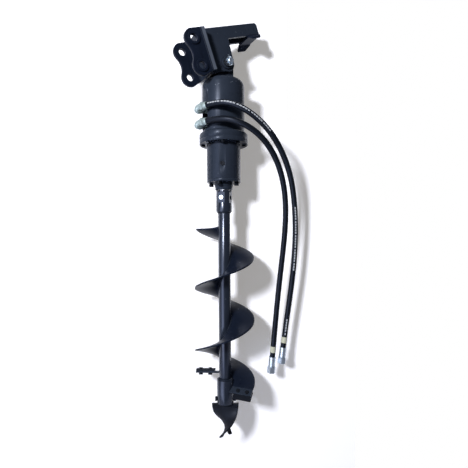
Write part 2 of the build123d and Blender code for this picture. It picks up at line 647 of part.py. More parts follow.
def make_gears():
    """Ring gear in the case, three planets on the carrier, and the sun on the motor shaft."""
    ring_r = GEAR_MODULE * RING_TEETH / 2
    ring_low = GEAR_Z - RING_FACE_EXTRA / 2
    ring_high = GEAR_TOP_Z + RING_FACE_EXTRA / 2
    inner_r = ring_r - TOOTH_ADDENDUM * GEAR_MODULE
    outer_r = ring_r + TOOTH_DEDENDUM * GEAR_MODULE
    gaps = toothed_face(RING_TEETH, inner_r, outer_r, TOOTH_BACKLASH)
    gaps = extrude(Pos(0, 0, ring_low) * gaps, ring_high - ring_low)
    save("ring_gear", disc(CASE_BORE_R, ring_low, ring_high) - gaps, DRIVE_PLACE)
    planet = external_gear(PLANET_TEETH, GEAR_Z, GEAR_TOP_Z)
    planet -= disc(PLANET_PIN_R + RUNNING_CLEARANCE, GEAR_Z, GEAR_TOP_Z)
    planet = Pos(PLANET_ORBIT_R, 0, 0) * planet
    for i, turned in enumerate(ring_of(planet, PLANET_COUNT)):
        save(f"planet_gear_{i + 1}", turned, DRIVE_PLACE)
    pin_top = GEAR_TOP_Z + CARRIER_GAP
    pin = disc(PLANET_PIN_R, CARRIER_Z, pin_top)
    pin += disc(PLANET_PIN_HEAD_R, pin_top, pin_top + PLANET_PIN_HEAD)
    pin = Pos(PLANET_ORBIT_R, 0, 0) * pin
    save("planet_pins", Compound(ring_of(pin, PLANET_COUNT)), DRIVE_PLACE)
    sun = external_gear(SUN_TEETH, GEAR_Z, GEAR_TOP_Z)
    sun += disc(SUN_SHAFT_R, GEAR_TOP_Z, JOINT_Z + SUN_SHAFT_ENGAGEMENT)
    save("sun_gear", sun, DRIVE_PLACE)
    carrier_r = PLANET_ORBIT_R + PLANET_PIN_R + CARRIER_RIM
    shaft = disc(SHAFT_R, HUB_TOP_Z - SHAFT_ENGAGEMENT, CASE_BOTTOM_Z)
    shaft += disc(SHAFT_JOURNAL_R, CASE_BOTTOM_Z, CARRIER_Z)
    shaft += disc(carrier_r, CARRIER_Z, CARRIER_TOP_Z)
    pin_hole = Pos(PLANET_ORBIT_R, 0, 0) * disc(PLANET_PIN_R, CARRIER_Z, CARRIER_TOP_Z)
    shaft -= ring_of(pin_hole, PLANET_COUNT)
    pin_axis = hub_pin_place() * Cylinder(HUB_PIN_R + HUB_CLEARANCE, 4 * HUB_R)
    save("output_shaft", shaft - pin_axis, DRIVE_PLACE)


def make_motor():
    """Adaptor plate, hydraulic motor and the bolts that hold it on the gear case."""
    adaptor = disc(CASE_BORE_R, JOINT_Z - ADAPTOR_THICK, JOINT_Z)
    adaptor -= disc(ADAPTOR_BORE_R, JOINT_Z - ADAPTOR_THICK, JOINT_Z)
    corner = MOTOR_BOLT_CIRCLE_R / sqrt(2)
    places = [(x, y) for x in (-corner, corner) for y in (-corner, corner)]
    bolt_low = MOTOR_FLANGE_TOP_Z - MOTOR_BOLT_GRIP
    bolt_holes = [
        Pos(x, y, 0) * disc(MOTOR_BOLT_R + BOLT_CLEARANCE, bolt_low, MOTOR_FLANGE_TOP_Z)
        for x, y in places
    ]
    save("motor_adaptor", adaptor - bolt_holes, DRIVE_PLACE)
    flange = Box(MOTOR_FLANGE, MOTOR_FLANGE, MOTOR_FLANGE_THICK)
    flange = Pos(0, 0, JOINT_Z + MOTOR_FLANGE_THICK / 2) * flange
    barrel = disc(MOTOR_R, MOTOR_FLANGE_TOP_Z, MOTOR_FLANGE_TOP_Z + MOTOR_LENGTH)
    barrel = fillet(barrel.edges().group_by(Axis.Z)[-1], MOTOR_EDGE_R)
    port_height = PORT_SPACING + 2 * MOTOR_PORT_MARGIN
    port_z = (PORT_LOWER_Z + PORT_UPPER_Z) / 2
    port = Pos(-MOTOR_PORT_FACE / 2, 0, port_z) * Box(MOTOR_PORT_FACE, MOTOR_PORT_WIDTH, port_height)
    motor = flange + barrel + port
    shaft_top = JOINT_Z + SUN_SHAFT_ENGAGEMENT + SUN_SHAFT_END_GAP
    motor -= disc(SUN_SHAFT_R + RUNNING_CLEARANCE, JOINT_Z, shaft_top)
    save("hydraulic_motor", motor - bolt_holes, DRIVE_PLACE)
    head = disc(MOTOR_BOLT_HEAD_R, MOTOR_FLANGE_TOP_Z, MOTOR_FLANGE_TOP_Z + MOTOR_BOLT_HEAD)
    bolt = head + disc(MOTOR_BOLT_R, bolt_low, MOTOR_FLANGE_TOP_Z)
    save("motor_bolts", Compound([Pos(x, y, 0) * bolt for x, y in places]), DRIVE_PLACE)


# Fittings and hoses
def hose_path(route, height):
    """The whole line of a hose: out of its ferrule, then along the chosen points."""
    elbow = Vector(-ELBOW_REACH, 0, height)
    start = elbow + OUTLET * HOSE_START
    port = Vector(0, 0, height)
    return [start, start + OUTLET * HOSE_FIRST_RUN] + [port + Vector(*point) for point in route]


def hose_tube(name, points):
    """A plain round tube on straight runs joined by the largest arcs that they allow."""
    radii = []
    for before, here, after in zip(points, points[1:], points[2:]):
        turn = radians((here - before).get_angle(after - here))
        shorter = min((here - before).length, (after - here).length)
        radii.append(FILLET_SHARE * shorter / tan(turn / 2))
    print(name, "radii", [round(radius) for radius in radii])
    path = FilletPolyline(*points, radius=radii)
    section = Plane(origin=path @ 0, z_dir=path % 0) * Circle(HOSE_R)
    tube = sweep(section, path=path)
    plain = pi * HOSE_R ** 2 * path.length
    print(name, "length", round(path.length, 1), "volume share", round(tube.volume / plain, 5))
    return tube


def make_fittings():
    """Port stems, elbows, swivel nuts, ferrules, hoses and their free ends."""
    stem_out = ELBOW_REACH - ELBOW_INLET
    stem = disc(STEM_R, MOTOR_PORT_FACE, stem_out)
    stem += hexagon(STEM_FLATS, stem_out - STEM_HEX_LENGTH, stem_out)
    inlet = disc(ELBOW_R, stem_out, ELBOW_REACH)
    pieces = {"port_stems": [], "port_elbows": [], "swivel_nuts": [], "hose_ferrules": []}
    end_ferrules = []
    end_nuts = []
    routes = (("hose_upper", UPPER_ROUTE, PORT_UPPER_Z), ("hose_lower", LOWER_ROUTE, PORT_LOWER_Z))
    for name, route, height in routes:
        port = along((0, 0, height), (-1, 0, 0))
        outlet = along((-ELBOW_REACH, 0, height), OUTLET)
        ferrule_low = ELBOW_OUTLET + SWIVEL_LENGTH
        pieces["port_stems"].append(stem.moved(port))
        elbow = inlet.moved(port) + disc(ELBOW_R, 0, ELBOW_OUTLET).moved(outlet)
        elbow += Pos(-ELBOW_REACH, 0, height) * Sphere(ELBOW_KNUCKLE_R)
        pieces["port_elbows"].append(elbow)
        pieces["swivel_nuts"].append(hexagon(SWIVEL_FLATS, ELBOW_OUTLET, ferrule_low).moved(outlet))
        pieces["hose_ferrules"].append(disc(FERRULE_R, ferrule_low, HOSE_START).moved(outlet))
        points = hose_path(route, height)
        save(name, hose_tube(name, points), DRIVE_PLACE)
        free_end = along(points[-1], points[-1] - points[-2])
        end_ferrules.append(disc(FERRULE_R, 0, END_FERRULE_LENGTH).moved(free_end))
        nut_end = END_FERRULE_LENGTH + END_NUT_LENGTH
        nut = hexagon(END_NUT_FLATS, END_FERRULE_LENGTH, nut_end)
        nut -= disc(END_NUT_BORE_R, nut_end - END_NUT_BORE_DEPTH, nut_end)
        end_nuts.append(nut.moved(free_end))
    for name, solids in pieces.items():
        save(name, Compound(solids), DRIVE_PLACE)
    save("hose_end_ferrules", Compound(end_ferrules), DRIVE_PLACE)
    save("hose_end_nuts", Compound(end_nuts), DRIVE_PLACE)


# Auger bit
def hub_pin_place():
    """The hub's cross pin: square to a flat, through the shaft."""
    return Rot(Z=HUB_FLAT_TURN) * Pos(0, 0, HUB_TOP_Z - HUB_PIN_DROP) * Rot(Y=90)


def make_hub():
    """The hub with its flats and cross pin, and the tube that it carries."""
    hub = disc(HUB_R, TUBE_TOP_Z, HUB_TOP_Z)
    hub = fillet(hub.edges().group_by(Axis.Z)[0], HUB_EDGE_R)
    hub -= disc(SHAFT_R + HUB_CLEARANCE, HUB_TOP_Z - SHAFT_ENGAGEMENT - CARRIER_GAP, HUB_TOP_Z)
    flat_r = sqrt(HUB_R ** 2 - (HUB_FLAT_WIDTH / 2) ** 2)
    flat_z = HUB_TOP_Z - HUB_FLAT_TOP - HUB_FLAT_LENGTH / 2
    cut = Pos(flat_r + HUB_R / 2, 0, flat_z) * Box(HUB_R, 2 * HUB_R, HUB_FLAT_LENGTH)
    hub -= ring_of(cut, 4, HUB_FLAT_TURN)
    hole = hub_pin_place() * Cylinder(HUB_PIN_R + HUB_CLEARANCE, 4 * HUB_R)
    hub -= hole
    hub -= Rot(Z=90) * hole
    save("auger_hub", hub, DRIVE_PLACE)
    save("hub_pin", hub_pin_place() * Cylinder(HUB_PIN_R, 2 * (flat_r + HUB_PIN_PROUD)), DRIVE_PLACE)
    tube_low = SOCKET_TOP_Z - SOCKET_TUBE_SEAT
    tube = disc(TUBE_R, tube_low, TUBE_TOP_Z) - disc(TUBE_R - TUBE_WALL, tube_low, TUBE_TOP_Z)
    save("auger_tube", tube, DRIVE_PLACE)


def make_flight():
    """The helical flight: a radial strip swept up a right-hand helix."""
    height = FLIGHT_PITCH * FLIGHT_TURNS
    helix = Helix(FLIGHT_PITCH, height, TUBE_R)
    width = AUGER_R - TUBE_R
    section = Plane.XZ * Pos(TUBE_R + width / 2, 0) * Rectangle(width, FLIGHT_THICK)
    flight = sweep(section, path=helix, is_frenet=True)
    place = Pos(0, 0, HUB_TOP_Z - FLIGHT_BOTTOM_DROP) * Rot(Z=FLIGHT_BOTTOM_TURN)
    flight = place * flight - disc(SOCKET_R, SOCKET_BOTTOM_Z, SOCKET_TOP_Z)
    trim = Pos(AUGER_R / 2, AUGER_R / 2, 0) * Box(2 * AUGER_R, AUGER_R, FLIGHT_PITCH / 2)
    trim = Pos(0, 0, height) * Rot(Z=360 * FLIGHT_TURNS) * Pos(TUBE_R, 0, 0) * Rot(Z=-FLIGHT_TRIM) * trim
    flight -= place * trim
    save("auger_flight", flight, DRIVE_PLACE)


def cutter(slope, tooth_side, root_r):
    """A holder bar and its bolted tooth on the X axis, cutting towards -Y and sloping down."""
    span = AUGER_R - HOLDER_INNER_R
    tilt = Rot(X=slope)
    bar = Pos(HOLDER_INNER_R + span / 2, -HOLDER_WIDTH / 2, 0) * Box(span, HOLDER_WIDTH, HOLDER_THICK)
    tooth_span = AUGER_R - TOOTH_INNER_R
    tooth_z = tooth_side * (HOLDER_THICK + TOOTH_THICK) / 2
    tooth_y = -TOOTH_SETBACK - TOOTH_WIDTH / 2
    tooth = Box(tooth_span, TOOTH_WIDTH, TOOTH_THICK)
    tooth = Pos(TOOTH_INNER_R + tooth_span / 2, tooth_y, tooth_z) * tooth
    edge = tooth.edges().filter_by(Axis.X).sort_by(Axis.Y)[:2].sort_by(Axis.Z)[0]
    tooth = chamfer(edge, TOOTH_BEVEL)
    head_z = (HOLDER_THICK / 2 + TOOTH_THICK) if tooth_side > 0 else HOLDER_THICK / 2
    nut_z = -HOLDER_THICK / 2 if tooth_side > 0 else -HOLDER_THICK / 2 - TOOTH_THICK
    middle = (TOOTH_INNER_R + AUGER_R) / 2
    bolts = []
    nuts = []
    for side in (-1, 1):
        at = Pos(middle + side * TOOTH_BOLT_SPACING / 2, -TOOTH_BOLT_INSET, 0)
        hole = at * disc(TOOTH_BOLT_R + BOLT_CLEARANCE, nut_z, head_z)
        bar -= hole
        tooth -= hole
        end_z = nut_z - TOOTH_NUT_HEIGHT
        bolt = disc(TOOTH_BOLT_R, end_z, head_z)
        bolt += disc(TOOTH_BOLT_HEAD_R, head_z, head_z + TOOTH_BOLT_HEAD)
        nut = hexagon(TOOTH_NUT_FLATS, end_z, nut_z) - disc(TOOTH_BOLT_R, end_z, nut_z)
        bolts.append(tilt * at * bolt)
        nuts.append(tilt * at * nut)
    behind = Pos(AUGER_R, HOLDER_WIDTH, 0) * Box(2 * AUGER_R, 2 * HOLDER_WIDTH, 4 * HOLDER_WIDTH)
    bar = tilt * bar - behind - disc(root_r, -2 * HOLDER_WIDTH, 2 * HOLDER_WIDTH)
    return bar, tilt * tooth, bolts, nuts


def make_cutters():
    """The main cutter at the flight's lower end and the second cutter on the tube."""
    main_place = Pos(0, 0, HUB_TOP_Z - FLIGHT_BOTTOM_DROP) * Rot(Z=FLIGHT_BOTTOM_TURN)
    second_place = Pos(0, 0, HUB_TOP_Z - SECOND_HOLDER_DROP) * Rot(Z=SECOND_HOLDER_TURN)
    bolts = []
    nuts = []
    sets = (
        ("main", main_place, HOLDER_SLOPE, -1, SOCKET_R),
        ("second", second_place, SECOND_HOLDER_SLOPE, 1, TUBE_R),
    )
    for name, place, slope, tooth_side, root_r in sets:
        bar, tooth, set_bolts, set_nuts = cutter(slope, tooth_side, root_r)
        save(f"{name}_tooth_holder", place * bar, DRIVE_PLACE)
        save(f"{name}_tooth", place * tooth, DRIVE_PLACE)
        bolts += [place * bolt for bolt in set_bolts]
        nuts += [place * nut for nut in set_nuts]
    save("tooth_bolts", Compound(bolts), DRIVE_PLACE)
    save("tooth_nuts", Compound(nuts), DRIVE_PLACE)


def make_pilot():
    """The pilot's socket on the tube, the twisted fishtail pilot and its cross bolt."""
    bolt_z = SOCKET_BOTTOM_Z + PILOT_BOLT_RISE
    bolt_place = Rot(Z=PILOT_BOLT_TURN) * Pos(0, 0, bolt_z) * Rot(Y=90)
    bolt_hole = bolt_place * Cylinder(PILOT_BOLT_R + BOLT_CLEARANCE, 4 * SOCKET_R)
    socket = disc(SOCKET_R, SOCKET_BOTTOM_Z, SOCKET_TOP_Z)
    socket -= disc(TUBE_R, SOCKET_TOP_Z - SOCKET_TUBE_SEAT, SOCKET_TOP_Z)
    shank_top = SOCKET_BOTTOM_Z + SHANK_ENGAGEMENT
    socket -= disc(SHANK_R + SHANK_CLEARANCE, SOCKET_BOTTOM_Z, shank_top)
    save("pilot_socket", socket - bolt_hole, DRIVE_PLACE)
    sections = []
    for i in range(PILOT_STATIONS):
        share = i / (PILOT_STATIONS - 1)
        width = PILOT_TOP_WIDTH + (PILOT_TIP_WIDTH - PILOT_TOP_WIDTH) * share ** PILOT_BELLY
        thick = PILOT_THICK + (PILOT_TIP_THICK - PILOT_THICK) * share
        turn = PILOT_TURN - PILOT_TWIST * share ** PILOT_TWIST_RISE
        station = Pos(0, 0, PILOT_TOP_Z - PILOT_LENGTH * share) * Rot(Z=turn)
        sections.append(station * Rectangle(width, thick))
    blade = loft(sections, ruled=True)
    tip_z = PILOT_TOP_Z - PILOT_LENGTH
    notch = make_face(Polyline(
        (-PILOT_NOTCH_WIDTH / 2, tip_z),
        (PILOT_NOTCH_WIDTH / 2, tip_z),
        (0, tip_z + PILOT_NOTCH_HEIGHT),
        close=True,
    ))
    blade -= Rot(Z=PILOT_TURN - PILOT_TWIST) * plate(notch, -PILOT_TOP_WIDTH, PILOT_TOP_WIDTH)
    pilot = blade + disc(SHANK_R, PILOT_TOP_Z, shank_top)
    save("pilot_point", pilot - bolt_hole, DRIVE_PLACE)
    bolt = disc(PILOT_BOLT_R, -SOCKET_R - PILOT_NUT_HEIGHT - PILOT_BOLT_END, SOCKET_R)
    bolt += hexagon(PILOT_BOLT_FLATS, SOCKET_R, SOCKET_R + PILOT_BOLT_HEAD)
    save("pilot_bolt", bolt_place * bolt, DRIVE_PLACE)
    nut = hexagon(PILOT_BOLT_FLATS, -SOCKET_R - PILOT_NUT_HEIGHT, -SOCKET_R)
    nut -= disc(PILOT_BOLT_R, -SOCKET_R - PILOT_NUT_HEIGHT, -SOCKET_R)
    save("pilot_nut", bolt_place * nut, DRIVE_PLACE)


make_ears()
make_hitch_body()
make_pivot()
make_case(make_hood())
make_gears()
make_motor()
make_fittings()
make_hub()
make_flight()
make_cutters()
make_pilot()

os.makedirs("parts", exist_ok=True)
for node, shape in NODES.items():
    export_step(shape, f"parts/{node}.step")
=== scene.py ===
"""Looks of an earth auger drive that hangs in its cradle hitch, with auger bit and hoses.

Every piece is built in the row frame in metres, with sizes named in millimetres, and rides a body
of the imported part. The camera and the light are those of a studio picture on a white ground.
"""

import json
import logging
import math
from dataclasses import dataclass, field
from enum import Enum
from typing import Sequence

import bmesh
import bpy
from mathutils import Matrix, Vector


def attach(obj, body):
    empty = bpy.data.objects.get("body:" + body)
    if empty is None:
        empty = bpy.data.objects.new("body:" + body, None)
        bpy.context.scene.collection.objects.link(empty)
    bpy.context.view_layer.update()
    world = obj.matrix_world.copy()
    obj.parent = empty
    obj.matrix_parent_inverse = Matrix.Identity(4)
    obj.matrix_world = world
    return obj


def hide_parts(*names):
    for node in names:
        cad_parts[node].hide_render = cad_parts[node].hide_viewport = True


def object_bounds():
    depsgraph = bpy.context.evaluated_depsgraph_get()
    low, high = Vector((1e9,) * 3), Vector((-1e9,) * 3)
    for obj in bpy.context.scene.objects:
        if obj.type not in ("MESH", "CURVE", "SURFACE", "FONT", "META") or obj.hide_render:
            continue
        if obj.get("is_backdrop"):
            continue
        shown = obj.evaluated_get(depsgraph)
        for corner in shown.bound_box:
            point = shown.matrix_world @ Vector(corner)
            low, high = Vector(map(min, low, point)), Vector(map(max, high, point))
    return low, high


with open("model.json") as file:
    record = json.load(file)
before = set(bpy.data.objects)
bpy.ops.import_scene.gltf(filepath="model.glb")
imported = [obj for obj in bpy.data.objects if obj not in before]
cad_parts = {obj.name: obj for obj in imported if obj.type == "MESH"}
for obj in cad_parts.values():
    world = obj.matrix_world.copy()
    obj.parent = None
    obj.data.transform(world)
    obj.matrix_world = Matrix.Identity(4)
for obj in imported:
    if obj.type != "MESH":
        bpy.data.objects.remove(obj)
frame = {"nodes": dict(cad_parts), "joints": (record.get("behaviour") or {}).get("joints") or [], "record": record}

LOG = logging.getLogger("auger_drive")
MM = 0.001
JOINTS = {joint["name"]: joint for joint in frame["joints"]}
PIVOT = Vector(JOINTS["drive_swing"]["pos_m"])
HITCH_LEAN = math.radians(19.5)
HITCH_TURN = Matrix.Translation(PIVOT) @ Matrix.Rotation(-HITCH_LEAN, 4, "Y")
DRIVE_PLACE = Matrix.Translation(PIVOT)

# Fineness of round pieces and seams
TURN_STEPS = 48
ROUND_SIDES = 32
WIRE_SIDES = 8
HEX_SIDES = 6
CIRCLE_POINTS = 72
SHARP_ANGLE = math.radians(32)
SAME_POINT_M = 1e-7
SPAN_SLACK = 1e-9
QUARTER_TURN = Matrix.Rotation(math.pi / 2, 4, "Z")

# Patterns of the finishes, and the colour sockets of a mix node
BROAD_PATCH_MM = 90.0
BROAD_RANGE = (0.3, 0.7)
SCUFF_MM = 14.0
SCUFF_RANGE = (0.7, 0.8)
MIX_FIRST, MIX_SECOND, MIX_RESULT = 6, 7, 2

# Weld beads: rings to each radius of length, height and length of the ripple, tapered ends
BEAD_STEPS = 2.0
BEAD_RIPPLE = 0.13
BEAD_PITCH = 1.9
BEAD_SIDES = 10
BEAD_LEAST_RINGS = 6
BEAD_END = 0.35
BEAD_TAPER = 0.25

# Hoses and their free ends
HOSE_STEPS = 24
HOSE_CURVE_STEPS = 16
HOSE_ROUND_STEPS = 8
ELBOW_STEPS = 8
END_NUT_FLATS_MM = 32.0
END_NUT_BORE_MM = 9.0
NUT_CHAMFER_MM = 1.6
FERRULE_R_MM = 14.5
FERRULE_MOUTH_MM = (0.9, 1.0)
FERRULE_NOSE_MM = 1.5
CRIMPS = 4
CRIMP_DEPTH_MM = 0.8
CRIMP_START_MM = 2.0
CRIMP_SPARE_MM = 6.0
CRIMP_CUTS = (0.55, 0.65, 0.9)
SLEEVE_WALL_MM = 0.5
SLEEVE_STEPS = 6

# Dashes of the pale line on a hose cover
MARK_ZONES_MM = ((10.0, 300.0), (640.0, 920.0), (1130.0, 1210.0))
MARK_MM = 9.0
MARK_GAP_MM = 2.5
MARK_GROUP_GAP_MM = 6.0
MARK_GROUP = 5
MARK_ARC_DEG = 24.0
MARK_LIFT_MM = 0.12
MARK_FACING = Vector((-0.45, -0.85, 0.15)).normalized()


class Body(str, Enum):
    """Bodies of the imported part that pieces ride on."""

    HITCH = "hitch"
    DRIVE = "drive"
    AUGER = "auger"


class Surface(Enum):
    """Ways in which a finish catches the light: the level of its gloss and the tint of it."""

    PAINT = (0.09, "#d6e2ff")
    GLOSS = (0.42, "#d6e2ff")
    DEEP = (0.06, "#c8d6ff")
    RUBBER = (0.15, "#d6e2ff")
    PLATED = (0.5, "#ffffff")
    PLAIN = (0.4, "#ffffff")


def linear(code: str) -> tuple[float, float, float, float]:
    """Turn an sRGB hex colour into linear RGBA.

    Args:
        code: Six hex digits after a hash sign.

    Returns:
        Linear red, green, blue and an alpha of one.
    """
    channels = [int(code[i : i + 2], 16) / 255 for i in (1, 3, 5)]
    lin = [c / 12.92 if c <= 0.04045 else ((c + 0.055) / 1.055) ** 2.4 for c in channels]
    return (lin[0], lin[1], lin[2], 1.0)


def add_node(
    tree: bpy.types.NodeTree, kind: str, settings: dict | None = None, links: dict | None = None
) -> bpy.types.Node:
    """Add one shader node, set it and link its inputs.

    Args:
        tree: The node tree that gets the node.
        kind: The node's type name without its leading "ShaderNode".
        settings: Attribute names, or input sockets as "in:Name" or a number, with their values.
        links: Input socket names or numbers with the output sockets that feed them.

    Returns:
        The new node.
    """
    node = tree.nodes.new(f"ShaderNode{kind}")
    for name, value in (settings or {}).items():
        if isinstance(name, int):
            node.inputs[name].default_value = value
        elif name.startswith("in:"):
            node.inputs[name[3:]].default_value = value
        else:
            setattr(node, name, value)
    for name, source in (links or {}).items():
        tree.links.new(source, node.inputs[name])
    return node


@dataclass(frozen=True)
class Finish:
    """One surface finish of the real object.

    Args:
        name: Name of the real material.
        slot: The record's material slot.
        surface: How it catches the light.
        colour: sRGB hex of the clean surface.
        shade: sRGB hex that the broad variation runs to.
        roughness: Mean roughness.
        spread: How far the roughness varies either way.
        metallic: Zero for paint and rubber, one for metal.
        grain_mm: Size of the fine relief.
        relief_mm: Height of the fine relief.
        scuff: sRGB hex of small rubbed specks, or nothing where there are none.
    """

    name: str
    slot: str
    surface: Surface
    colour: str
    shade: str
    roughness: float
    spread: float = 0.06
    metallic: float = 0.0
    grain_mm: float = 2.0
    relief_mm: float = 0.02
    scuff: str = ""

    def material(self) -> bpy.types.Material:
        """Build the material once and return it.

        Returns:
            The Blender material of this finish.
        """
        found = bpy.data.materials.get(self.name)
        if found:
            return found
        made = bpy.data.materials.new(self.name)
        made.use_nodes = True
        tree = made.node_tree
        shader = tree.nodes["Principled BSDF"]
        place = add_node(tree, "TexCoord").outputs["Object"]
        patch = {"in:Scale": 1 / (BROAD_PATCH_MM * MM), "in:Detail": 4.0, "in:Roughness": 0.6}
        broad = add_node(tree, "TexNoise", patch, {"Vector": place}).outputs["Fac"]
        grain = {"in:Scale": 1 / (self.grain_mm * MM), "in:Detail": 2.0}
        fine = add_node(tree, "TexNoise", grain, {"Vector": place}).outputs["Fac"]
        tones = {
            "data_type": "RGBA",
            MIX_FIRST: linear(self.colour),
            MIX_SECOND: linear(self.shade),
        }
        colour = add_node(tree, "Mix", tones, {"Factor": broad}).outputs[MIX_RESULT]
        if self.scuff:
            colour = self.worn(tree, place, colour)
        reach = {
            "in:From Min": BROAD_RANGE[0],
            "in:From Max": BROAD_RANGE[1],
            "in:To Min": self.roughness - self.spread,
            "in:To Max": self.roughness + self.spread,
        }
        rough = add_node(tree, "MapRange", reach, {"Value": broad}).outputs["Result"]
        relief = {"in:Strength": 1.0, "in:Distance": self.relief_mm * MM}
        bump = add_node(tree, "Bump", relief, {"Height": fine}).outputs["Normal"]
        tree.links.new(colour, shader.inputs["Base Color"])
        tree.links.new(rough, shader.inputs["Roughness"])
        tree.links.new(bump, shader.inputs["Normal"])
        shader.inputs["Metallic"].default_value = self.metallic
        gloss, tint = self.surface.value
        shader.inputs["Specular IOR Level"].default_value = gloss
        shader.inputs["Specular Tint"].default_value = linear(tint)
        return made

    def worn(
        self, tree: bpy.types.NodeTree, place: bpy.types.NodeSocket, clean: bpy.types.NodeSocket
    ) -> bpy.types.NodeSocket:
        """Lay small rubbed specks over the clean colour.

        Args:
            tree: The material's nodes.
            place: Where the pattern is read.
            clean: The colour without specks.

        Returns:
            The colour with specks.
        """
        size = {"in:Scale": 1 / (SCUFF_MM * MM), "in:Detail": 3.0}
        speck = add_node(tree, "TexNoise", size, {"Vector": place}).outputs["Fac"]
        reach = {"in:From Min": SCUFF_RANGE[0], "in:From Max": SCUFF_RANGE[1]}
        rubbed = add_node(tree, "MapRange", reach, {"Value": speck}).outputs["Result"]
        bare = {"data_type": "RGBA", MIX_SECOND: linear(self.scuff)}
        worn = add_node(tree, "Mix", bare, {"Factor": rubbed, MIX_FIRST: clean})
        return worn.outputs[MIX_RESULT]


# The real grain of paint, plate and rubber is too fine to show, so it is drawn at 0.8 to 3 mm.

# Satin machinery paint, sprayed: near black with a blue cast, soft highlights and rubbed specks
PAINT = Finish(
    "satin_machine_paint", "satin_black_paint", Surface.PAINT,
    "#1f2530", "#29303d", 0.29, grain_mm=1.6, relief_mm=0.016, scuff="#6a7280",
)
# The same paint, darker on the ears, their bosses and the flight as painted shade, with hardly any shine
SHADED_PAINT = Finish(
    "painted_shade_machine_paint", "satin_black_paint", Surface.DEEP,
    "#0f1420", "#171e2d", 0.33, grain_mm=1.6, relief_mm=0.016, scuff="#565d69",
)
# The same paint gone dull in the cradle, which the dipper rubs, and darker there as painted shade: dark and
# without shine
DULL_SHADED_PAINT = Finish(
    "dull_shaded_machine_paint", "satin_black_paint", Surface.DEEP,
    "#0f1420", "#171e2d", 0.8, grain_mm=1.6, relief_mm=0.016, scuff="#565d69",
)
# The same paint polished by soil on the tube and its sockets: a long, clear highlight
WORN_PAINT = Finish(
    "soil_polished_paint", "satin_black_paint", Surface.GLOSS,
    "#161b25", "#1e2430", 0.22, grain_mm=1.6, relief_mm=0.012, scuff="#6a7280",
)
# Forged tooth steel under thin black paint: rough and almost black
TOOTH = Finish(
    "forged_tooth_steel", "blackened_tooth_steel", Surface.PAINT,
    "#0e1016", "#181b23", 0.5, grain_mm=3.0, relief_mm=0.06,
)
# Black-oxide fasteners: black with a faint oily shine
BLACK_STEEL = Finish(
    "black_oxide_steel", "black_fastener_steel", Surface.PAINT,
    "#0e1015", "#191c22", 0.34, relief_mm=0.006,
)
# Bright zinc plate on nuts and bolts: pale and bluish, with sharp glints
ZINC = Finish(
    "bright_zinc_plate", "zinc_plated_steel", Surface.PLATED,
    "#c6d0da", "#b0bcc8", 0.36, metallic=1.0, grain_mm=1.0, relief_mm=0.006,
)
# Dull zinc plate on the hose fittings: pale grey-green with a soft shine
FITTING = Finish(
    "dull_zinc_plate", "zinc_plated_steel", Surface.PLATED,
    "#95a3a5", "#839396", 0.5, metallic=0.5, grain_mm=1.0, relief_mm=0.008,
)
# Ground gear steel: bright grey metal with clear reflections
GEAR = Finish(
    "ground_gear_steel", "hardened_gear_steel", Surface.PLATED,
    "#b4b6ba", "#9a9da3", 0.3, metallic=1.0, relief_mm=0.004,
)
# Polished bearing steel: the brightest metal
BEARING = Finish(
    "bearing_ring_steel", "bearing_steel", Surface.PLATED,
    "#cfd1d4", "#bfc2c6", 0.18, metallic=1.0, relief_mm=0.002,
)
# Painted motor casting: dark grey with the grain of the mould
IRON = Finish(
    "painted_motor_iron", "cast_motor_iron", Surface.PAINT,
    "#25262a", "#2e2f34", 0.55, grain_mm=1.2, relief_mm=0.08,
)
# Turned bronze bush: warm brown metal
BRONZE = Finish(
    "turned_bronze", "bronze_bush", Surface.PLATED,
    "#b58a4a", "#9a713a", 0.3, metallic=1.0,
)
# Moulded seal rubber: matt black
SEAL = Finish(
    "moulded_seal_rubber", "seal_rubber", Surface.RUBBER,
    "#1b1b1c", "#232324", 0.6,
)
# Wrapped hose rubber: black with a dim, long highlight
HOSE = Finish(
    "hose_cover_rubber", "hose_rubber", Surface.RUBBER,
    "#0a0d13", "#11151d", 0.38, grain_mm=0.8, relief_mm=0.02,
)
# Pale shrink sleeve near each hose end: matt and yellowish grey
SLEEVE = Finish(
    "pale_shrink_sleeve", "hose_rubber", Surface.PLAIN,
    "#b9bcae", "#a5a899", 0.55,
)
# Printed marking line on the hose cover: pale, matt ink
PRINT = Finish(
    "hose_marking_print", "hose_rubber", Surface.PLAIN,
    "#a9aeb8", "#8f96a2", 0.6,
)
# Weld metal under thin paint: dark and rippled
WELD = Finish(
    "painted_weld_bead", "satin_black_paint", Surface.PAINT,
    "#151a24", "#1e2430", 0.42, grain_mm=2.0, relief_mm=0.05,
)
# Sawn plate edge under thin, rubbed paint: lighter grey with the marks of the saw
SAWN = Finish(
    "sawn_plate_edge", "satin_black_paint", Surface.PAINT,
    "#434a58", "#5f6776", 0.42, metallic=0.2, grain_mm=1.5, relief_mm=0.05,
)
FINISHES = (PAINT, TOOTH, BLACK_STEEL, ZINC, GEAR, BEARING, IRON, BRONZE, SEAL, HOSE)


def new_piece(name: str, mesh: bmesh.types.BMesh, finish: Finish, body: Body) -> bpy.types.Object:
    """Make an object from a finished mesh and let it ride a body.

    Args:
        name: Name of the piece.
        mesh: The mesh in the row frame; it is freed.
        finish: Its finish.
        body: The body it rides on.

    Returns:
        The new object.
    """
    bmesh.ops.recalc_face_normals(mesh, faces=mesh.faces)
    for face in mesh.faces:
        face.smooth = True
    for edge in mesh.edges:
        if len(edge.link_faces) == 2 and edge.calc_face_angle(0.0) > SHARP_ANGLE:
            edge.smooth = False
    data = bpy.data.meshes.new(name)
    mesh.to_mesh(data)
    mesh.free()
    data.materials.append(finish.material())
    made = bpy.data.objects.new(name, data)
    bpy.context.scene.collection.objects.link(made)
    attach(made, body.value)
    LOG.info("piece %s on %s: %d faces", name, body.value, len(data.polygons))
    return made


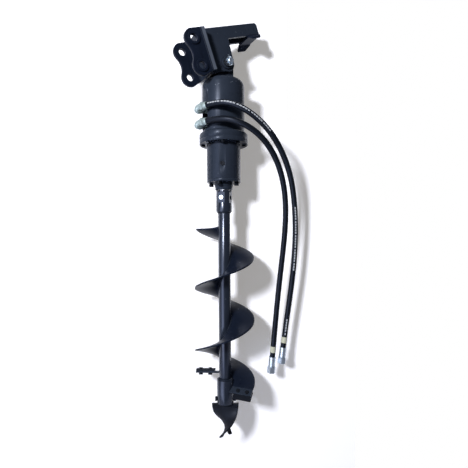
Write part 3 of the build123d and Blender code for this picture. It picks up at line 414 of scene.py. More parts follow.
def frame_at(origin: Vector, direction: Vector) -> Matrix:
    """A placement at an origin whose Z axis points along a direction."""
    turn = direction.to_track_quat("Z", "Y").to_matrix().to_4x4()
    return Matrix.Translation(origin) @ turn


def turned(
    mesh: bmesh.types.BMesh, profile: Sequence[tuple[float, float]], place: Matrix
) -> None:
    """Add a lathe-turned body to a mesh.

    Args:
        mesh: The mesh that gets it.
        profile: Radius and height pairs in millimetres, from one end on the axis to the other.
        place: Where the turning axis goes.
    """
    before = set(mesh.verts)
    corners = [mesh.verts.new((r * MM, 0, z * MM)) for r, z in profile]
    edges = [mesh.edges.new(pair) for pair in zip(corners, corners[1:])]
    bmesh.ops.spin(
        mesh,
        geom=corners + edges,
        cent=(0, 0, 0),
        axis=(0, 0, 1),
        angle=2 * math.pi,
        steps=TURN_STEPS,
        use_merge=True,
    )
    fresh = [vert for vert in mesh.verts if vert not in before]
    bmesh.ops.remove_doubles(mesh, verts=fresh, dist=SAME_POINT_M)
    fresh = [vert for vert in fresh if vert.is_valid]
    bmesh.ops.transform(mesh, matrix=place, verts=fresh)


def ring(
    mesh: bmesh.types.BMesh, place: Matrix, radius: float, sides: int
) -> list[bmesh.types.BMEdge]:
    """Add a ring of edges.

    Args:
        mesh: The mesh that gets it.
        place: The ring's placement, with its axis along Z.
        radius: Radius in millimetres.
        sides: How many sides it has.

    Returns:
        Its edges.
    """
    made = bmesh.ops.create_circle(
        mesh, cap_ends=False, segments=sides, radius=radius * MM, matrix=place @ QUARTER_TURN
    )
    return list({edge for vert in made["verts"] for edge in vert.link_edges})


def loft(
    mesh: bmesh.types.BMesh, rings: Sequence[list[bmesh.types.BMEdge]], caps: bool = True
) -> None:
    """Bridge rings or rows of edges into a skin.

    Args:
        mesh: The mesh that holds them.
        rings: The rings or rows in order.
        caps: Whether the first and last ring are closed.
    """
    for low, high in zip(rings, rings[1:]):
        bmesh.ops.bridge_loops(mesh, edges=low + high)
    if caps:
        bmesh.ops.edgeloop_fill(mesh, edges=rings[0])
        bmesh.ops.edgeloop_fill(mesh, edges=rings[-1])


def sweep_round(
    mesh: bmesh.types.BMesh, points: Sequence[Vector], radius: float, sides: int
) -> None:
    """Add a round bar or wire along a line.

    Args:
        mesh: The mesh that gets it.
        points: The line in metres.
        radius: Its radius in millimetres.
        sides: How many sides its section has.
    """
    rings = []
    for i, point in enumerate(points):
        ahead = points[min(i + 1, len(points) - 1)] - points[max(i - 1, 0)]
        rings.append(ring(mesh, frame_at(point, ahead), radius, sides))
    loft(mesh, rings)


def spline_points(control: Sequence[Vector], steps: int) -> list[Vector]:
    """Points along a clamped quadratic B-spline, as the hose curve draws it.

    Args:
        control: Control points.
        steps: Points on each span.

    Returns:
        Points from the first control point to the last.
    """
    spans = len(control) - 2
    knots = [0.0, 0.0] + [float(i) for i in range(spans + 1)] + [float(spans)] * 2
    points = []
    for i in range(spans * steps + 1):
        t = min(i / steps, spans - SPAN_SLACK)
        k = int(t)
        left, mid, right = control[k : k + 3]
        low, high = knots[k + 1], knots[k + 4]
        a, b = knots[k + 2], knots[k + 3]
        first = left.lerp(mid, (t - low) / (b - low))
        second = mid.lerp(right, (t - a) / (high - a))
        points.append(first.lerp(second, (t - a) / (b - a)))
    return points


def path_length(points: Sequence[Vector]) -> float:
    """Length of a polyline in the unit of its points."""
    return sum((b - a).length for a, b in zip(points, points[1:]))


def along_path(points: Sequence[Vector], distance: float) -> tuple[Vector, Vector]:
    """Place and direction at a distance along a polyline.

    Args:
        points: Its corners.
        distance: How far from its start.

    Returns:
        The point and the unit direction there.
    """
    left = distance
    for a, b in zip(points, points[1:]):
        step = (b - a).length
        if left <= step:
            return a.lerp(b, left / step), (b - a).normalized()
        left -= step
    return points[-1].copy(), (points[-1] - points[-2]).normalized()


def ferrule_profile(length: float) -> list[tuple[float, float]]:
    """Profile of a crimped hose ferrule.

    Args:
        length: Its length in millimetres.

    Returns:
        Radius and height pairs.
    """
    full, waist = FERRULE_R_MM, FERRULE_R_MM - CRIMP_DEPTH_MM
    inward, rise = FERRULE_MOUTH_MM
    profile = [(0.0, 0.0), (full - inward, 0.0), (full, rise)]
    step = (length - CRIMP_SPARE_MM) / CRIMPS
    ridge, sink, floor = CRIMP_CUTS
    for i in range(CRIMPS):
        low = CRIMP_START_MM + i * step
        profile += [(full, low + ridge * step), (waist, low + sink * step)]
        profile += [(waist, low + floor * step), (full, low + step)]
    nose = FERRULE_NOSE_MM
    profile += [(full, length - nose), (full - nose, length), (0.0, length)]
    return profile


def hex_nut(
    mesh: bmesh.types.BMesh, flats: float, length: float, bore: float, place: Matrix
) -> None:
    """Add a hexagonal nut with chamfered corners and an open bore at its far end.

    Args:
        mesh: The mesh that gets it.
        flats: Width across flats in millimetres.
        length: Length in millimetres, centred on the place.
        bore: Bore radius in millimetres.
        place: The nut's placement, with its axis along Z.
    """
    corner = flats / 2 / math.cos(math.pi / 6)
    half = length / 2
    cut = NUT_CHAMFER_MM
    inner = corner - cut
    levels = ((inner, -half), (corner, -half + cut), (corner, half - cut), (inner, half))
    levels += ((bore, half), (bore, 0.0))
    rings = []
    for radius, height in levels:
        rings.append(ring(mesh, place @ Matrix.Translation((0, 0, height * MM)), radius, HEX_SIDES))
    loft(mesh, rings)


@dataclass
class HoseRun:
    """One hydraulic hose with its free end fitting.

    Args:
        name: Name of the hose and of its CAD node.
        route: Control points after the first run: X and Y from the drive axis and the height
            above the port, in millimetres.
        port_drop_mm: How far its port lies below the pivot.
        marked: Whether the cover carries a printed line.
        sleeve_gap_mm: Distance from the end ferrule to the pale sleeve.
    """

    name: str
    route: Sequence[tuple[float, float, float]]
    port_drop_mm: float
    marked: bool
    sleeve_gap_mm: float
    diameter_mm: float = 24.0
    elbow_reach_mm: float = 121.035
    outlet_turn_deg: float = -63.0
    elbow_inlet_mm: float = 36.0
    elbow_outlet_mm: float = 23.5
    elbow_sag_mm: float = 11.0
    elbow_knee_mm: float = 9.4
    elbow_r_mm: float = 13.0
    start_mm: float = 54.0
    first_run_mm: float = 64.0
    sleeve_mm: float = 26.0
    ferrule_mm: float = 44.0
    nut_mm: float = 27.0
    control: list[Vector] = field(default_factory=list)
    line: list[Vector] = field(default_factory=list)

    def outlet(self) -> Vector:
        """Unit direction in which the hose leaves its elbow."""
        turn = math.radians(self.outlet_turn_deg)
        return Vector((math.cos(turn), math.sin(turn), 0))

    def build(self) -> None:
        """Make the hose and what is on it."""
        outlet = self.outlet()
        start = Vector((-self.elbow_reach_mm, 0, -self.port_drop_mm)) + outlet * self.start_mm
        port = Vector((0, 0, -self.port_drop_mm))
        chosen = [start, start + outlet * self.first_run_mm]
        chosen += [port + Vector(p) for p in self.route]
        self.control = [PIVOT + p * MM for p in chosen]
        self.line = spline_points(self.control, HOSE_STEPS)
        hose = self.tube()
        pieces = [self.end_fitting(), self.end_sleeve()]
        if self.marked:
            pieces.append(self.marking())
        LOG.info("hose %s: %.3f m", self.name, path_length(self.line))

    def tube(self) -> bpy.types.Object:
        """Draw the hose as a round curve on its control points.

        Returns:
            The curve object.
        """
        name = f"{self.name}_cover"
        curve = bpy.data.curves.new(name, "CURVE")
        curve.dimensions = "3D"
        curve.bevel_depth = self.diameter_mm * MM / 2
        curve.bevel_resolution = HOSE_ROUND_STEPS
        curve.resolution_u = HOSE_CURVE_STEPS
        curve.use_fill_caps = True
        spline = curve.splines.new("NURBS")
        spline.points.add(len(self.control) - 1)
        for point, place in zip(spline.points, self.control):
            point.co = (*place, 1.0)
        spline.order_u = 3
        spline.use_endpoint_u = True
        curve.materials.append(HOSE.material())
        made = bpy.data.objects.new(name, curve)
        bpy.context.scene.collection.objects.link(made)
        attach(made, Body.DRIVE.value)
        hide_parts(self.name)
        return made

    def port_elbow(self, mesh: bmesh.types.BMesh) -> None:
        """Add the swept elbow between the port stem and the swivel nut.

        Args:
            mesh: The mesh that gets it.
        """
        outlet = self.outlet()
        corner = Vector((-self.elbow_reach_mm, 0, -self.port_drop_mm))
        inner = corner + Vector((self.elbow_inlet_mm, 0, 0))
        bend = [
            inner,
            inner.lerp(corner, 0.5) + Vector((0, 0, -self.elbow_sag_mm)),
            corner + Vector((0, 0, -self.elbow_sag_mm)),
            corner + outlet * self.elbow_knee_mm,
            corner + outlet * self.elbow_outlet_mm,
        ]
        line = spline_points([PIVOT + p * MM for p in bend], ELBOW_STEPS)
        sweep_round(mesh, line, self.elbow_r_mm, ROUND_SIDES)

    def end_place(self) -> Matrix:
        """Placement of the free end, with Z along the hose."""
        return frame_at(self.control[-1], self.control[-1] - self.control[-2])

    def end_fitting(self) -> bpy.types.Object:
        """The crimped ferrule and the swivel nut at the free end.

        Returns:
            The fitting.
        """
        mesh = bmesh.new()
        place = self.end_place()
        turned(mesh, ferrule_profile(self.ferrule_mm), place)
        nut_z = self.ferrule_mm + self.nut_mm / 2
        nut_place = place @ Matrix.Translation((0, 0, nut_z * MM))
        hex_nut(mesh, END_NUT_FLATS_MM, self.nut_mm, END_NUT_BORE_MM, nut_place)
        return new_piece(f"{self.name}_end_fitting", mesh, ZINC, Body.DRIVE)

    def end_sleeve(self) -> bpy.types.Object:
        """The pale sleeve a little way up from the end ferrule.

        Returns:
            The sleeve.
        """
        total = path_length(self.line)
        radius = self.diameter_mm / 2 + SLEEVE_WALL_MM
        mesh = bmesh.new()
        rings = []
        for i in range(SLEEVE_STEPS + 1):
            back = self.sleeve_gap_mm + self.sleeve_mm * i / SLEEVE_STEPS
            point, direction = along_path(self.line, total - back * MM)
            rings.append(ring(mesh, frame_at(point, direction), radius, ROUND_SIDES))
        loft(mesh, rings)
        return new_piece(f"{self.name}_sleeve", mesh, SLEEVE, Body.DRIVE)

    def marking(self) -> bpy.types.Object:
        """A plain broken line printed along the cover.

        Returns:
            The printed line.
        """
        radius = (self.diameter_mm / 2 + MARK_LIFT_MM) * MM
        mesh = bmesh.new()
        for start, end in MARK_ZONES_MM:
            at = start
            count = 0
            while at + MARK_MM < end:
                self.mark(mesh, at, radius)
                count += 1
                at += MARK_MM + (MARK_GROUP_GAP_MM if count % MARK_GROUP == 0 else MARK_GAP_MM)
        return new_piece(f"{self.name}_marking", mesh, PRINT, Body.DRIVE)

    def mark(self, mesh: bmesh.types.BMesh, at: float, radius: float) -> None:
        """Add one dash of the printed line.

        Args:
            mesh: The mesh that gets the dash.
            at: Distance along the hose in millimetres.
            radius: Radius at which the dash lies, in metres.
        """
        rows = []
        for share in (0.0, 0.5, 1.0):
            point, direction = along_path(self.line, (at + MARK_MM * share) * MM)
            out = (MARK_FACING - direction * MARK_FACING.dot(direction)).normalized()
            side = direction.cross(out)
            row = []
            for turn in (-MARK_ARC_DEG / 2, 0.0, MARK_ARC_DEG / 2):
                angle = math.radians(turn)
                spoke = out * math.cos(angle) + side * math.sin(angle)
                row.append(mesh.verts.new(point + spoke * radius))
            rows.append([mesh.edges.new(pair) for pair in zip(row, row[1:])])
        loft(mesh, rows, caps=False)


@dataclass
class HoseSet:
    """Both hoses and their end fittings.

    Args:
        upper: The hose on the upper port.
        lower: The hose on the lower port.
    """

    upper: HoseRun
    lower: HoseRun

    def build(self) -> None:
        """Make both hoses and let their fittings stand for the plain ones."""
        self.upper.build()
        self.lower.build()
        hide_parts("hose_end_ferrules", "hose_end_nuts")
        mesh = bmesh.new()
        self.upper.port_elbow(mesh)
        self.lower.port_elbow(mesh)
        elbows = new_piece("swept_port_elbows", mesh, FITTING, Body.DRIVE)
        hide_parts("port_elbows")


UPPER_ROUTE = (
    (-21, -149, -16),
    (44, -172, -52),
    (120, -174, -108),
    (190, -160, -184),
    (243, -143, -276),
    (273, -126, -378),
    (287, -114, -488),
    (289.5, -103, -598),
    (284, -93, -708),
    (272, -79, -832),
    (262, -69.5, -923),
    (253.6, -62.4, -1012),
)
LOWER_ROUTE = (
    (-21, -149, -14),
    (44, -172, -46),
    (112, -168, -94),
    (171, -151, -160),
    (211, -134, -238),
    (233, -118, -319),
    (241, -105, -404),
    (240.5, -91, -499),
    (234.5, -77, -604),
    (228, -64.6, -709),
    (221, -54, -824),
    (215.5, -47.5, -909),
    (210.4, -41.7, -989),
)


def bead(
    mesh: bmesh.types.BMesh, points: Sequence[Vector], radius: float, closed: bool = False
) -> None:
    """Add a weld bead with the ripples that each pass of the arc leaves.

    It is lofted in a mesh of its own, because an operator slows down as a mesh grows.

    Args:
        mesh: The mesh that gets the bead.
        points: The seam in metres.
        radius: Bead radius in millimetres.
        closed: Whether the seam runs into itself.
    """
    seam = list(points) + ([points[0]] if closed else [])
    total = path_length(seam)
    count = max(BEAD_LEAST_RINGS, int(total / (radius * MM) * BEAD_STEPS))
    seam_mesh = bmesh.new()
    rings = []
    for i in range(count + (0 if closed else 1)):
        point, direction = along_path(seam, total * i / count)
        ripple = 1 + BEAD_RIPPLE * math.sin(2 * math.pi * i / BEAD_STEPS / BEAD_PITCH)
        end = 1.0 if closed else min(1.0, BEAD_END + BEAD_TAPER * min(i, count - i))
        place = frame_at(point, direction)
        rings.append(ring(seam_mesh, place, radius * ripple * end, BEAD_SIDES))
    if closed:
        rings.append(rings[0])
    loft(seam_mesh, rings, caps=not closed)
    made = bpy.data.meshes.new("bead")
    seam_mesh.to_mesh(made)
    seam_mesh.free()
    mesh.from_mesh(made)
    bpy.data.meshes.remove(made)


def axis_point(radius: float, angle: float, height: float) -> Vector:
    """A point in metres from millimetres off the drive axis, radians and height above the pivot."""
    return DRIVE_PLACE @ (Vector((radius * math.cos(angle), radius * math.sin(angle), height)) * MM)


def circle_points(radius: float, height: float) -> list[Vector]:
    """Points in metres of a level circle on the drive axis, given in millimetres."""
    turns = [2 * math.pi * i / CIRCLE_POINTS for i in range(CIRCLE_POINTS)]
    return [axis_point(radius, turn, height) for turn in turns]


@dataclass
class HitchLooks:
    """Weld beads, the bare plate edge and the split pin of the hitch, in the hitch's own axes."""

    ear_outer_mm: float = 70.0
    ear_inner_mm: float = 56.0
    base_back_mm: float = -91.0
    base_front_mm: float = -74.0
    base_low_mm: float = -28.0
    base_high_mm: float = 141.0
    base_half_mm: float = 72.0
    side_outer_mm: float = 38.0
    arm_bottom_mm: float = 98.0
    cradle_mm: tuple[float, float] = (140.0, 198.0)
    boss_r_mm: float = 24.0
    boss_points: int = 48
    seam_trim_mm: float = 4.0
    seam_lift_mm: float = 1.2
    ear_lift_mm: tuple[float, float] = (0.6, 0.4)
    cradle_lift_mm: float = 0.8
    boss_lift_mm: float = 0.6
    plate_bead_mm: float = 3.0
    cradle_bead_mm: float = 2.6
    boss_bead_mm: float = 2.0
    sawn_inset_mm: float = 1.2
    sawn_sunk_mm: float = 0.3
    sawn_thick_mm: float = 0.45
    pin_y_mm: float = -65.0
    pin_wire_mm: float = 1.15
    pin_top_mm: float = 17.0
    pin_eye_r_mm: float = 3.6
    pin_eye_rise_mm: float = 3.2
    pin_eye_deg: tuple[float, float] = (-60.0, 300.0)
    pin_eye_steps: int = 14
    pin_leg_mm: tuple[tuple[float, float], ...] = (
        (1.2, 17.0),
        (1.2, -13.0),
        (2.0, -15.5),
        (5.0, -17.0),
        (9.5, -17.2),
    )

    def point(self, along: float, across: float, up: float) -> Vector:
        """A point in metres, from millimetres along the arm, along the pivot and off the arm."""
        return HITCH_TURN @ (Vector((along, across, up)) * MM)

    def build(self) -> None:
        """Make the hitch's own details."""
        self.welds()
        self.bare_edges()
        self.split_pin()

    def welds(self) -> None:
        """Beads where the plates meet."""
        mesh = bmesh.new()
        ends = (self.base_low_mm + self.seam_trim_mm, self.base_high_mm - self.seam_trim_mm)
        lift = self.seam_lift_mm
        back_lift, side_lift = self.ear_lift_mm
        for side in (-1, 1):
            for along, across in (
                (self.base_back_mm - back_lift, self.ear_outer_mm + side_lift),
                (self.base_back_mm - lift, self.ear_inner_mm - lift),
                (self.base_front_mm + lift, self.side_outer_mm + lift),
            ):
                seam = [self.point(along, side * across, up) for up in ends]
                bead(mesh, seam, self.plate_bead_mm)
            across = side * (self.side_outer_mm + self.cradle_lift_mm)
            under = self.arm_bottom_mm + self.cradle_lift_mm
            seam = [self.point(along, across, under) for along in self.cradle_mm]
            bead(mesh, seam, self.cradle_bead_mm)
            bead(mesh, self.boss_seam(side), self.boss_bead_mm, closed=True)
        new_piece("hitch_welds", mesh, WELD, Body.HITCH)

    def boss_seam(self, side: int) -> list[Vector]:
        """The seam round a pivot boss.

        Args:
            side: Minus one for the front plate, one for the rear plate.

        Returns:
            Points of the seam in metres.
        """
        radius = self.boss_r_mm + self.boss_lift_mm
        across = side * (self.side_outer_mm + self.boss_lift_mm)
        turns = [2 * math.pi * i / self.boss_points for i in range(self.boss_points)]
        return [self.point(radius * math.cos(t), across, radius * math.sin(t)) for t in turns]

    def bare_edges(self) -> None:
        """The sawn edges of the base plate, where the paint is thin."""
        mesh = bmesh.new()
        inset = self.sawn_inset_mm
        back, front = self.base_back_mm + inset, self.base_front_mm - inset
        low, high = self.base_low_mm + inset, self.base_high_mm - inset
        corners = ((back, low), (front, low), (front, high), (back, high))
        for side in (-1, 1):
            across = side * (self.base_half_mm - self.sawn_sunk_mm)
            face = mesh.faces.new([mesh.verts.new(self.point(a, across, u)) for a, u in corners])
            raised = bmesh.ops.extrude_face_region(mesh, geom=[face], use_keep_orig=True)["geom"]
            lifted = [part for part in raised if isinstance(part, bmesh.types.BMVert)]
            outward = self.point(0, side * self.sawn_thick_mm, 0) - self.point(0, 0, 0)
            bmesh.ops.translate(mesh, verts=lifted, vec=outward)
        new_piece("base_plate_sawn_edges", mesh, SAWN, Body.HITCH)

    def split_pin(self) -> None:
        """The split pin: an eye, two legs through the nut, bent open below."""
        mesh = bmesh.new()
        first, sweep = self.pin_eye_deg
        centre = self.pin_top_mm + self.pin_eye_rise_mm
        radius = self.pin_eye_r_mm
        eye = []
        for i in range(self.pin_eye_steps + 1):
            turn = math.radians(first + sweep * i / self.pin_eye_steps)
            height = centre - radius * math.cos(turn)
            eye.append(self.point(radius * math.sin(turn), self.pin_y_mm, height))
        sweep_round(mesh, eye, self.pin_wire_mm, WIRE_SIDES)
        for side in (-1, 1):
            leg = [self.point(side * along, self.pin_y_mm, up) for along, up in self.pin_leg_mm]
            sweep_round(mesh, leg, self.pin_wire_mm, WIRE_SIDES)
        made = new_piece("split_pin_wire", mesh, ZINC, Body.HITCH)
        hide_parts("split_pin")


@dataclass
class DriveLooks:
    """Weld beads of the lug and the hood."""

    lug_half_x_mm: float = 37.5
    lug_half_y_mm: float = 23.0
    hood_r_mm: float = 88.5
    hood_top_mm: float = -64.0
    hood_bottom_mm: float = -289.5
    seam_lift_mm: float = 0.8
    lug_bead_mm: float = 3.0
    hood_bead_mm: float = 3.2

    def build(self) -> None:
        """Make the drive's beads."""
        mesh = bmesh.new()
        lift = self.seam_lift_mm
        x, y = self.lug_half_x_mm + lift, self.lug_half_y_mm + lift
        corners = [(-x, -y), (x, -y), (x, y), (-x, y)]
        loop = [DRIVE_PLACE @ (Vector((a, b, self.hood_top_mm + lift)) * MM) for a, b in corners]
        for start, end in zip(loop, loop[1:] + loop[:1]):
            bead(mesh, [start, end], self.lug_bead_mm)
        rim = circle_points(self.hood_r_mm + lift, self.hood_bottom_mm + lift)
        bead(mesh, rim, self.hood_bead_mm, closed=True)
        new_piece("drive_welds", mesh, WELD, Body.DRIVE)


@dataclass
class AugerLooks:
    """Weld beads of the auger bit."""

    hub_top_mm: float = -526.0
    hub_length_mm: float = 91.0
    tube_r_mm: float = 25.4
    socket_drop_mm: float = 791.0
    flight_bottom_drop_mm: float = 818.0
    flight_turn_deg: float = -53.0
    flight_pitch_mm: float = 259.3
    flight_turns: float = 2.57
    flight_thick_mm: float = 6.0
    weld_start_turns: float = 0.13
    weld_stop_short_turns: float = 0.02
    weld_steps: int = 160
    hub_lift_mm: float = 0.8
    socket_lift_mm: float = 1.0
    flight_root_lift_mm: float = 1.0
    flight_lift_mm: float = 1.2
    hub_bead_mm: float = 2.6
    socket_bead_mm: float = 3.2
    flight_bead_mm: float = 2.8

    def build(self) -> None:
        """Make the auger's beads."""
        mesh = bmesh.new()
        hub_foot = self.hub_top_mm - self.hub_length_mm - self.hub_lift_mm
        hub = circle_points(self.tube_r_mm + self.hub_lift_mm, hub_foot)
        bead(mesh, hub, self.hub_bead_mm, closed=True)
        socket_top = self.hub_top_mm - self.socket_drop_mm + self.socket_lift_mm
        socket = circle_points(self.tube_r_mm + self.socket_lift_mm, socket_top)
        bead(mesh, socket, self.socket_bead_mm, closed=True)
        for side in (-1, 1):
            offset = side * (self.flight_thick_mm / 2 + self.flight_lift_mm)
            bead(mesh, self.flight_seam(offset), self.flight_bead_mm)
        new_piece("auger_welds", mesh, WELD, Body.AUGER)

    def flight_seam(self, offset: float) -> list[Vector]:
        """The seam between flight and tube.

        Args:
            offset: Height above the flight's middle in millimetres.

        Returns:
            Points of the seam in metres.
        """
        radius = self.tube_r_mm + self.flight_root_lift_mm
        bottom = self.hub_top_mm - self.flight_bottom_drop_mm
        first = self.weld_start_turns
        sweep = self.flight_turns - self.weld_stop_short_turns - first
        points = []
        for i in range(self.weld_steps + 1):
            turns = first + sweep * i / self.weld_steps
            angle = math.radians(self.flight_turn_deg) + 2 * math.pi * turns
            height = bottom + self.flight_pitch_mm * turns + offset
            points.append(axis_point(radius, angle, height))
        return points


@dataclass
class FrameLooks:
    """Finishes and softened edges for the CAD nodes.

    Args:
        edge_mm: Edge rounding of plate and castings.
        small_edge_mm: Edge rounding of fasteners and fittings.
        edge_angle_deg: Edges sharper than this are rounded.
        edge_segments: Facets across a rounded edge.
        seam_gap_m: Points nearer than this are one point.
        fittings: Nodes of the hose fittings, whose zinc is dull.
        deep: Painted nodes whose paint is made darker as painted shade.
        dull: Painted nodes whose coat has gone dull and is darker as painted shade.
        polished: Painted nodes that soil has polished.
    """

    edge_mm: float = 1.2
    small_edge_mm: float = 0.5
    edge_angle_deg: float = 40.0
    edge_segments: int = 2
    seam_gap_m: float = 1e-6
    fittings: tuple[str, ...] = ("port_stems", "port_elbows", "swivel_nuts", "hose_ferrules")
    # Nodes whose paint is made darker as painted shade
    deep: tuple[str, ...] = (
        "ear_plate_front",
        "ear_plate_rear",
        "dipper_pin_bosses",
        "link_pin_bosses",
        "auger_flight",
    )
    # The cradle's paint is dull and darker as painted shade
    dull: tuple[str, ...] = ("cradle_saddle",)
    polished: tuple[str, ...] = ("auger_hub", "auger_tube", "pilot_socket")

    def build(self) -> None:
        """Give every CAD node its finish and rounded edges."""
        by_slot = {finish.slot: finish for finish in FINISHES}
        by_node = dict.fromkeys(self.fittings, FITTING)
        by_node |= dict.fromkeys(self.deep, SHADED_PAINT)
        by_node |= dict.fromkeys(self.dull, DULL_SHADED_PAINT)
        by_node |= dict.fromkeys(self.polished, WORN_PAINT)
        for part in frame["record"]["subparts"]:
            node = frame["nodes"][part["node"]]
            finish = by_node.get(part["node"], by_slot[part["material_slot"]])
            node.data.materials.clear()
            node.data.materials.append(finish.material())
            self.soften(node, finish)
            LOG.info("node %s: %s", part["node"], finish.name)

    def soften(self, node: bpy.types.Object, finish: Finish) -> None:
        """Weld a CAD node's seams and round its sharp edges.

        Args:
            node: The CAD node.
            finish: Its finish.
        """
        weld = node.modifiers.new("weld", "WELD")
        weld.merge_threshold = self.seam_gap_m
        bevel = node.modifiers.new("edge", "BEVEL")
        bevel.limit_method = "ANGLE"
        bevel.angle_limit = math.radians(self.edge_angle_deg)
        bevel.width = (self.edge_mm if finish.slot == PAINT.slot else self.small_edge_mm) * MM
        bevel.segments = self.edge_segments
        bevel.profile = 0.5
        bevel.harden_normals = True


@dataclass(frozen=True)
class Lamp:
    """One square area light, placed from the object's middle as the camera sees it.

    Args:
        name: Its name.
        ahead_m: How far beyond the middle it stands.
        right_m: How far to the right.
        up_m: How far above.
        size_m: Its width.
        power_w: Its power in watts.
        colour: sRGB hex of its light.
    """

    name: str
    ahead_m: float
    right_m: float
    up_m: float
    size_m: float
    power_w: float
    colour: str


# The light from the upper left that throws the shadow
KEY_LIGHT = Lamp("key_light", -3.2, -1.6, 1.2, 0.5, 200.0, "#fffdfa")
# A soft light from behind
BACK_LIGHT = Lamp("back_light", 3.0, 1.4, 0.2, 1.6, 110.0, "#f6f8ff")


@dataclass
class Studio:
    """Camera, light and ground of the picture.

    Args:
        camera_mm: Where the camera stands.
        forward: Where it looks.
        roll_rad: How far it is rolled.
        lens_mm: Its focal length.
        sensor_mm: Width of its sensor.
        clip_m: Nearest and farthest distance it sees.
        middle_height_m: Height of the object's middle.
        wall_depth_m: Distance from the camera to the backdrop.
        sheet_half_m: Reach of backdrop and floor to each side.
        backdrop_edge_m: Where the backdrop ends on the right.
        swing_cut_m: Corner of the cut at its upper right, across and up.
        floor_depth_m: How far the floor comes forward of the backdrop.
        floor_drop_mm: How far the floor lies below the object.
        backdrop_colour: sRGB hex of the backdrop.
        floor_colour: sRGB hex of the floor.
        glow_colour: sRGB hex of what both show of their own.
        paper_glow: How much the backdrop shows of its own.
        floor_glow: How much the floor does.
        room_colour: sRGB hex of the room's light.
        surround: Level of the room's light.
        mirror_colour: sRGB hex of the room in reflections.
        mirrored: Level of the room in reflections.
        window: Level of the window in reflections.
        window_towards: Where the window lies: right, ahead and up.
        window_edge: Cosines between which the window fades in.
        window_squash: How much heights are flattened, which makes the window tall.
    """

    camera_mm: tuple[float, float, float] = (-541.8, -1415.2, -771.7)
    forward: tuple[float, float, float] = (0.46785, 0.88378, 0.00719)
    roll_rad: float = -0.0072
    lens_mm: float = 28.78
    sensor_mm: float = 36.0
    clip_m: tuple[float, float] = (0.05, 50.0)
    middle_height_m: float = -0.75
    wall_depth_m: float = 1.734
    sheet_half_m: float = 3.0
    backdrop_edge_m: float = 0.56
    swing_cut_m: tuple[float, float] = (0.24, 0.52)
    floor_depth_m: float = 1.0
    floor_drop_mm: float = 700.0
    backdrop_colour: str = "#e6eaf8"
    floor_colour: str = "#969db4"
    glow_colour: str = "#fff9ec"
    paper_glow: float = 0.28
    floor_glow: float = 0.35
    room_colour: str = "#eceef4"
    surround: float = 0.16
    mirror_colour: str = "#e4e9fa"
    mirrored: float = 0.25
    window: float = 5.5
    window_towards: tuple[float, float, float] = (-0.68, -0.73, -0.3)
    window_edge: tuple[float, float] = (0.84, 0.99)
    window_squash: float = 0.35

    def build(self) -> None:
        """Make camera, backdrop, floor, lights and world."""
        self.camera()
        self.ground()
        for lamp in (KEY_LIGHT, BACK_LIGHT):
            self.area_light(lamp)
        self.world()

    def axes(self) -> tuple[Vector, Vector, Vector]:
        """The camera's right, up and forward directions.

        Returns:
            Three unit vectors.
        """
        ahead = Vector(self.forward).normalized()
        right = ahead.cross(Vector((0, 0, 1))).normalized()
        up = right.cross(ahead)
        cos, sin = math.cos(self.roll_rad), math.sin(self.roll_rad)
        return right * cos + up * sin, up * cos - right * sin, ahead

    def camera(self) -> None:
        """Make the camera and set it as the scene's."""
        data = bpy.data.cameras.new("studio_camera")
        data.lens = self.lens_mm
        data.sensor_width = self.sensor_mm
        data.clip_start, data.clip_end = self.clip_m
        made = bpy.data.objects.new("studio_camera", data)
        right, up, ahead = self.axes()
        turn = Matrix((right, up, -ahead)).transposed().to_4x4()
        made.matrix_world = Matrix.Translation(Vector(self.camera_mm) * MM) @ turn
        bpy.context.scene.collection.objects.link(made)
        bpy.context.scene.camera = made

    def sheet(self, paper: bpy.types.Material, name: str, corners: list[Vector]) -> None:
        """Make one flat sheet of the ground.

        Args:
            paper: Its material.
            name: Its name.
            corners: Its corners in order, counted anticlockwise from its front.
        """
        mesh = bmesh.new()
        mesh.faces.new([mesh.verts.new(corner) for corner in corners])
        data = bpy.data.meshes.new(name)
        mesh.to_mesh(data)
        mesh.free()
        data.materials.append(paper)
        made = bpy.data.objects.new(name, data)
        bpy.context.scene.collection.objects.link(made)
        made.visible_shadow = False
        made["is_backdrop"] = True

    def studio_paper(self, name: str, colour: str, own_glow: float) -> bpy.types.Material:
        """Pale studio paper that is clear from behind, so that no view is blocked.

        Args:
            name: Name of the paper.
            colour: sRGB hex of the paper.
            own_glow: How much it shows of its own in the picture and in reflections.

        Returns:
            The material.
        """
        made = bpy.data.materials.new(name)
        made.use_nodes = True
        tree = made.node_tree
        tree.nodes.clear()
        side = add_node(tree, "NewGeometry").outputs["Backfacing"]
        paper = add_node(tree, "BsdfDiffuse", {"in:Color": linear(colour)}).outputs[0]
        ray = add_node(tree, "LightPath").outputs
        seen = {0: ray["Is Camera Ray"], 1: ray["Is Glossy Ray"]}
        either = add_node(tree, "Math", {"operation": "MAXIMUM"}, seen).outputs[0]
        scale = {"operation": "MULTIPLY", 1: own_glow}
        share = add_node(tree, "Math", scale, {0: either}).outputs[0]
        shine = {"in:Color": linear(self.glow_colour)}
        glow = add_node(tree, "Emission", shine, {"Strength": share}).outputs[0]
        lit = add_node(tree, "AddShader", {}, {0: paper, 1: glow}).outputs[0]
        clear = add_node(tree, "BsdfTransparent").outputs[0]
        mix = add_node(tree, "MixShader", {}, {"Fac": side, 1: lit, 2: clear}).outputs[0]
        add_node(tree, "OutputMaterial", {}, {"Surface": mix})
        return made

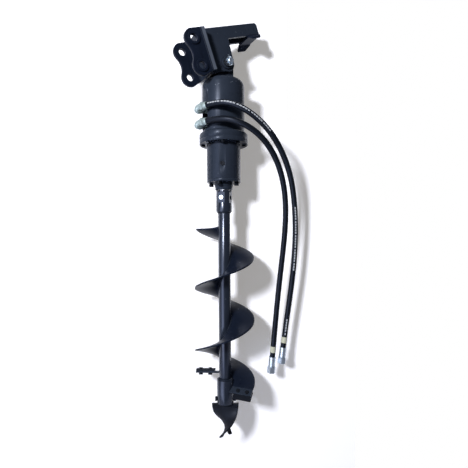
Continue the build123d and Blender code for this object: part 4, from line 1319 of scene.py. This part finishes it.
    def ground(self) -> None:
        """Place the backdrop behind the object and the floor under it.

        The backdrop is cut away at the upper right, where the drive swings through.
        """
        right, up, ahead = self.axes()
        eye = Vector(self.camera_mm) * MM
        backdrop = self.studio_paper("backdrop_paper", self.backdrop_colour, self.paper_glow)
        floor = self.studio_paper("floor_paper", self.floor_colour, self.floor_glow)
        wide = self.sheet_half_m
        side, top = self.swing_cut_m
        edge = self.backdrop_edge_m
        outline = (
            (-wide, -wide),
            (edge, -wide),
            (edge, top),
            (side, top),
            (side, wide),
            (-wide, wide),
        )
        centre = eye + ahead * self.wall_depth_m
        self.sheet(backdrop, "studio_backdrop", [centre + right * a + up * b for a, b in outline])
        low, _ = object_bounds()
        foot = Vector((centre.x, centre.y, low.z - self.floor_drop_mm * MM))
        across = Vector((right.x, right.y, 0)).normalized()
        along = Vector((ahead.x, ahead.y, 0)).normalized()
        deep = -self.floor_depth_m
        outline = ((-wide, deep), (wide, deep), (wide, 0), (-wide, 0))
        self.sheet(floor, "studio_floor", [foot + across * a + along * b for a, b in outline])

    def area_light(self, lamp: Lamp) -> None:
        """Add one area light that points at the object's middle.

        Args:
            lamp: The light.
        """
        data = bpy.data.lights.new(lamp.name, "AREA")
        data.size = lamp.size_m
        data.energy = lamp.power_w
        data.color = linear(lamp.colour)[:3]
        right, up, ahead = self.axes()
        middle = Vector((PIVOT.x, 0, self.middle_height_m))
        place = middle + ahead * lamp.ahead_m + right * lamp.right_m + up * lamp.up_m
        made = bpy.data.objects.new(lamp.name, data)
        made.matrix_world = frame_at(place, place - middle)
        bpy.context.scene.collection.objects.link(made)

    def world(self) -> None:
        """A dim room with a tall bright window on the left that only shows in reflections."""
        world = bpy.data.worlds.new("studio_world")
        world.use_nodes = True
        tree = world.node_tree
        tree.nodes.clear()
        ray = add_node(tree, "LightPath").outputs
        plain = {"in:Color": linear(self.room_colour), "in:Strength": self.surround}
        room = add_node(tree, "Background", plain).outputs[0]
        facing = add_node(tree, "TexCoord").outputs["Generated"]
        squash = {"operation": "MULTIPLY", 1: (1.0, 1.0, self.window_squash)}
        flat = add_node(tree, "VectorMath", squash, {0: facing}).outputs["Vector"]
        unit = {"operation": "NORMALIZE"}
        sight = add_node(tree, "VectorMath", unit, {0: flat}).outputs["Vector"]
        right, up, ahead = self.axes()
        across, beyond, above = self.window_towards
        target = (right * across + ahead * beyond + up * above).normalized()
        compare = {"operation": "DOT_PRODUCT", 1: target}
        near = add_node(tree, "VectorMath", compare, {0: sight}).outputs["Value"]
        fade = {
            "interpolation_type": "SMOOTHSTEP",
            "in:From Min": self.window_edge[0],
            "in:From Max": self.window_edge[1],
            "in:To Min": self.mirrored,
            "in:To Max": self.window,
        }
        level = add_node(tree, "MapRange", fade, {"Value": near}).outputs["Result"]
        tint = {"in:Color": linear(self.mirror_colour)}
        glossy = add_node(tree, "Background", tint, {"Strength": level}).outputs[0]
        white = add_node(tree, "Background", {"in:Color": linear("#ffffff")}).outputs[0]
        sides = {"Fac": ray["Is Glossy Ray"], 1: room, 2: glossy}
        lit = add_node(tree, "MixShader", {}, sides).outputs[0]
        sides = {"Fac": ray["Is Camera Ray"], 1: lit, 2: white}
        mix = add_node(tree, "MixShader", {}, sides).outputs[0]
        add_node(tree, "OutputWorld", {}, {"Surface": mix})
        bpy.context.scene.world = world
        bpy.context.scene.view_settings.view_transform = "Standard"


def main() -> None:
    """Build the looks of the whole object."""
    logging.basicConfig(level=logging.INFO, format="%(message)s")
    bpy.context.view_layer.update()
    FrameLooks().build()
    HoseSet(
        upper=HoseRun("hose_upper", UPPER_ROUTE, 192.0, marked=True, sleeve_gap_mm=20.0),
        lower=HoseRun("hose_lower", LOWER_ROUTE, 256.0, marked=False, sleeve_gap_mm=20.0),
    ).build()
    HitchLooks().build()
    DriveLooks().build()
    AugerLooks().build()
    Studio().build()


if __name__ == "__main__":
    main()
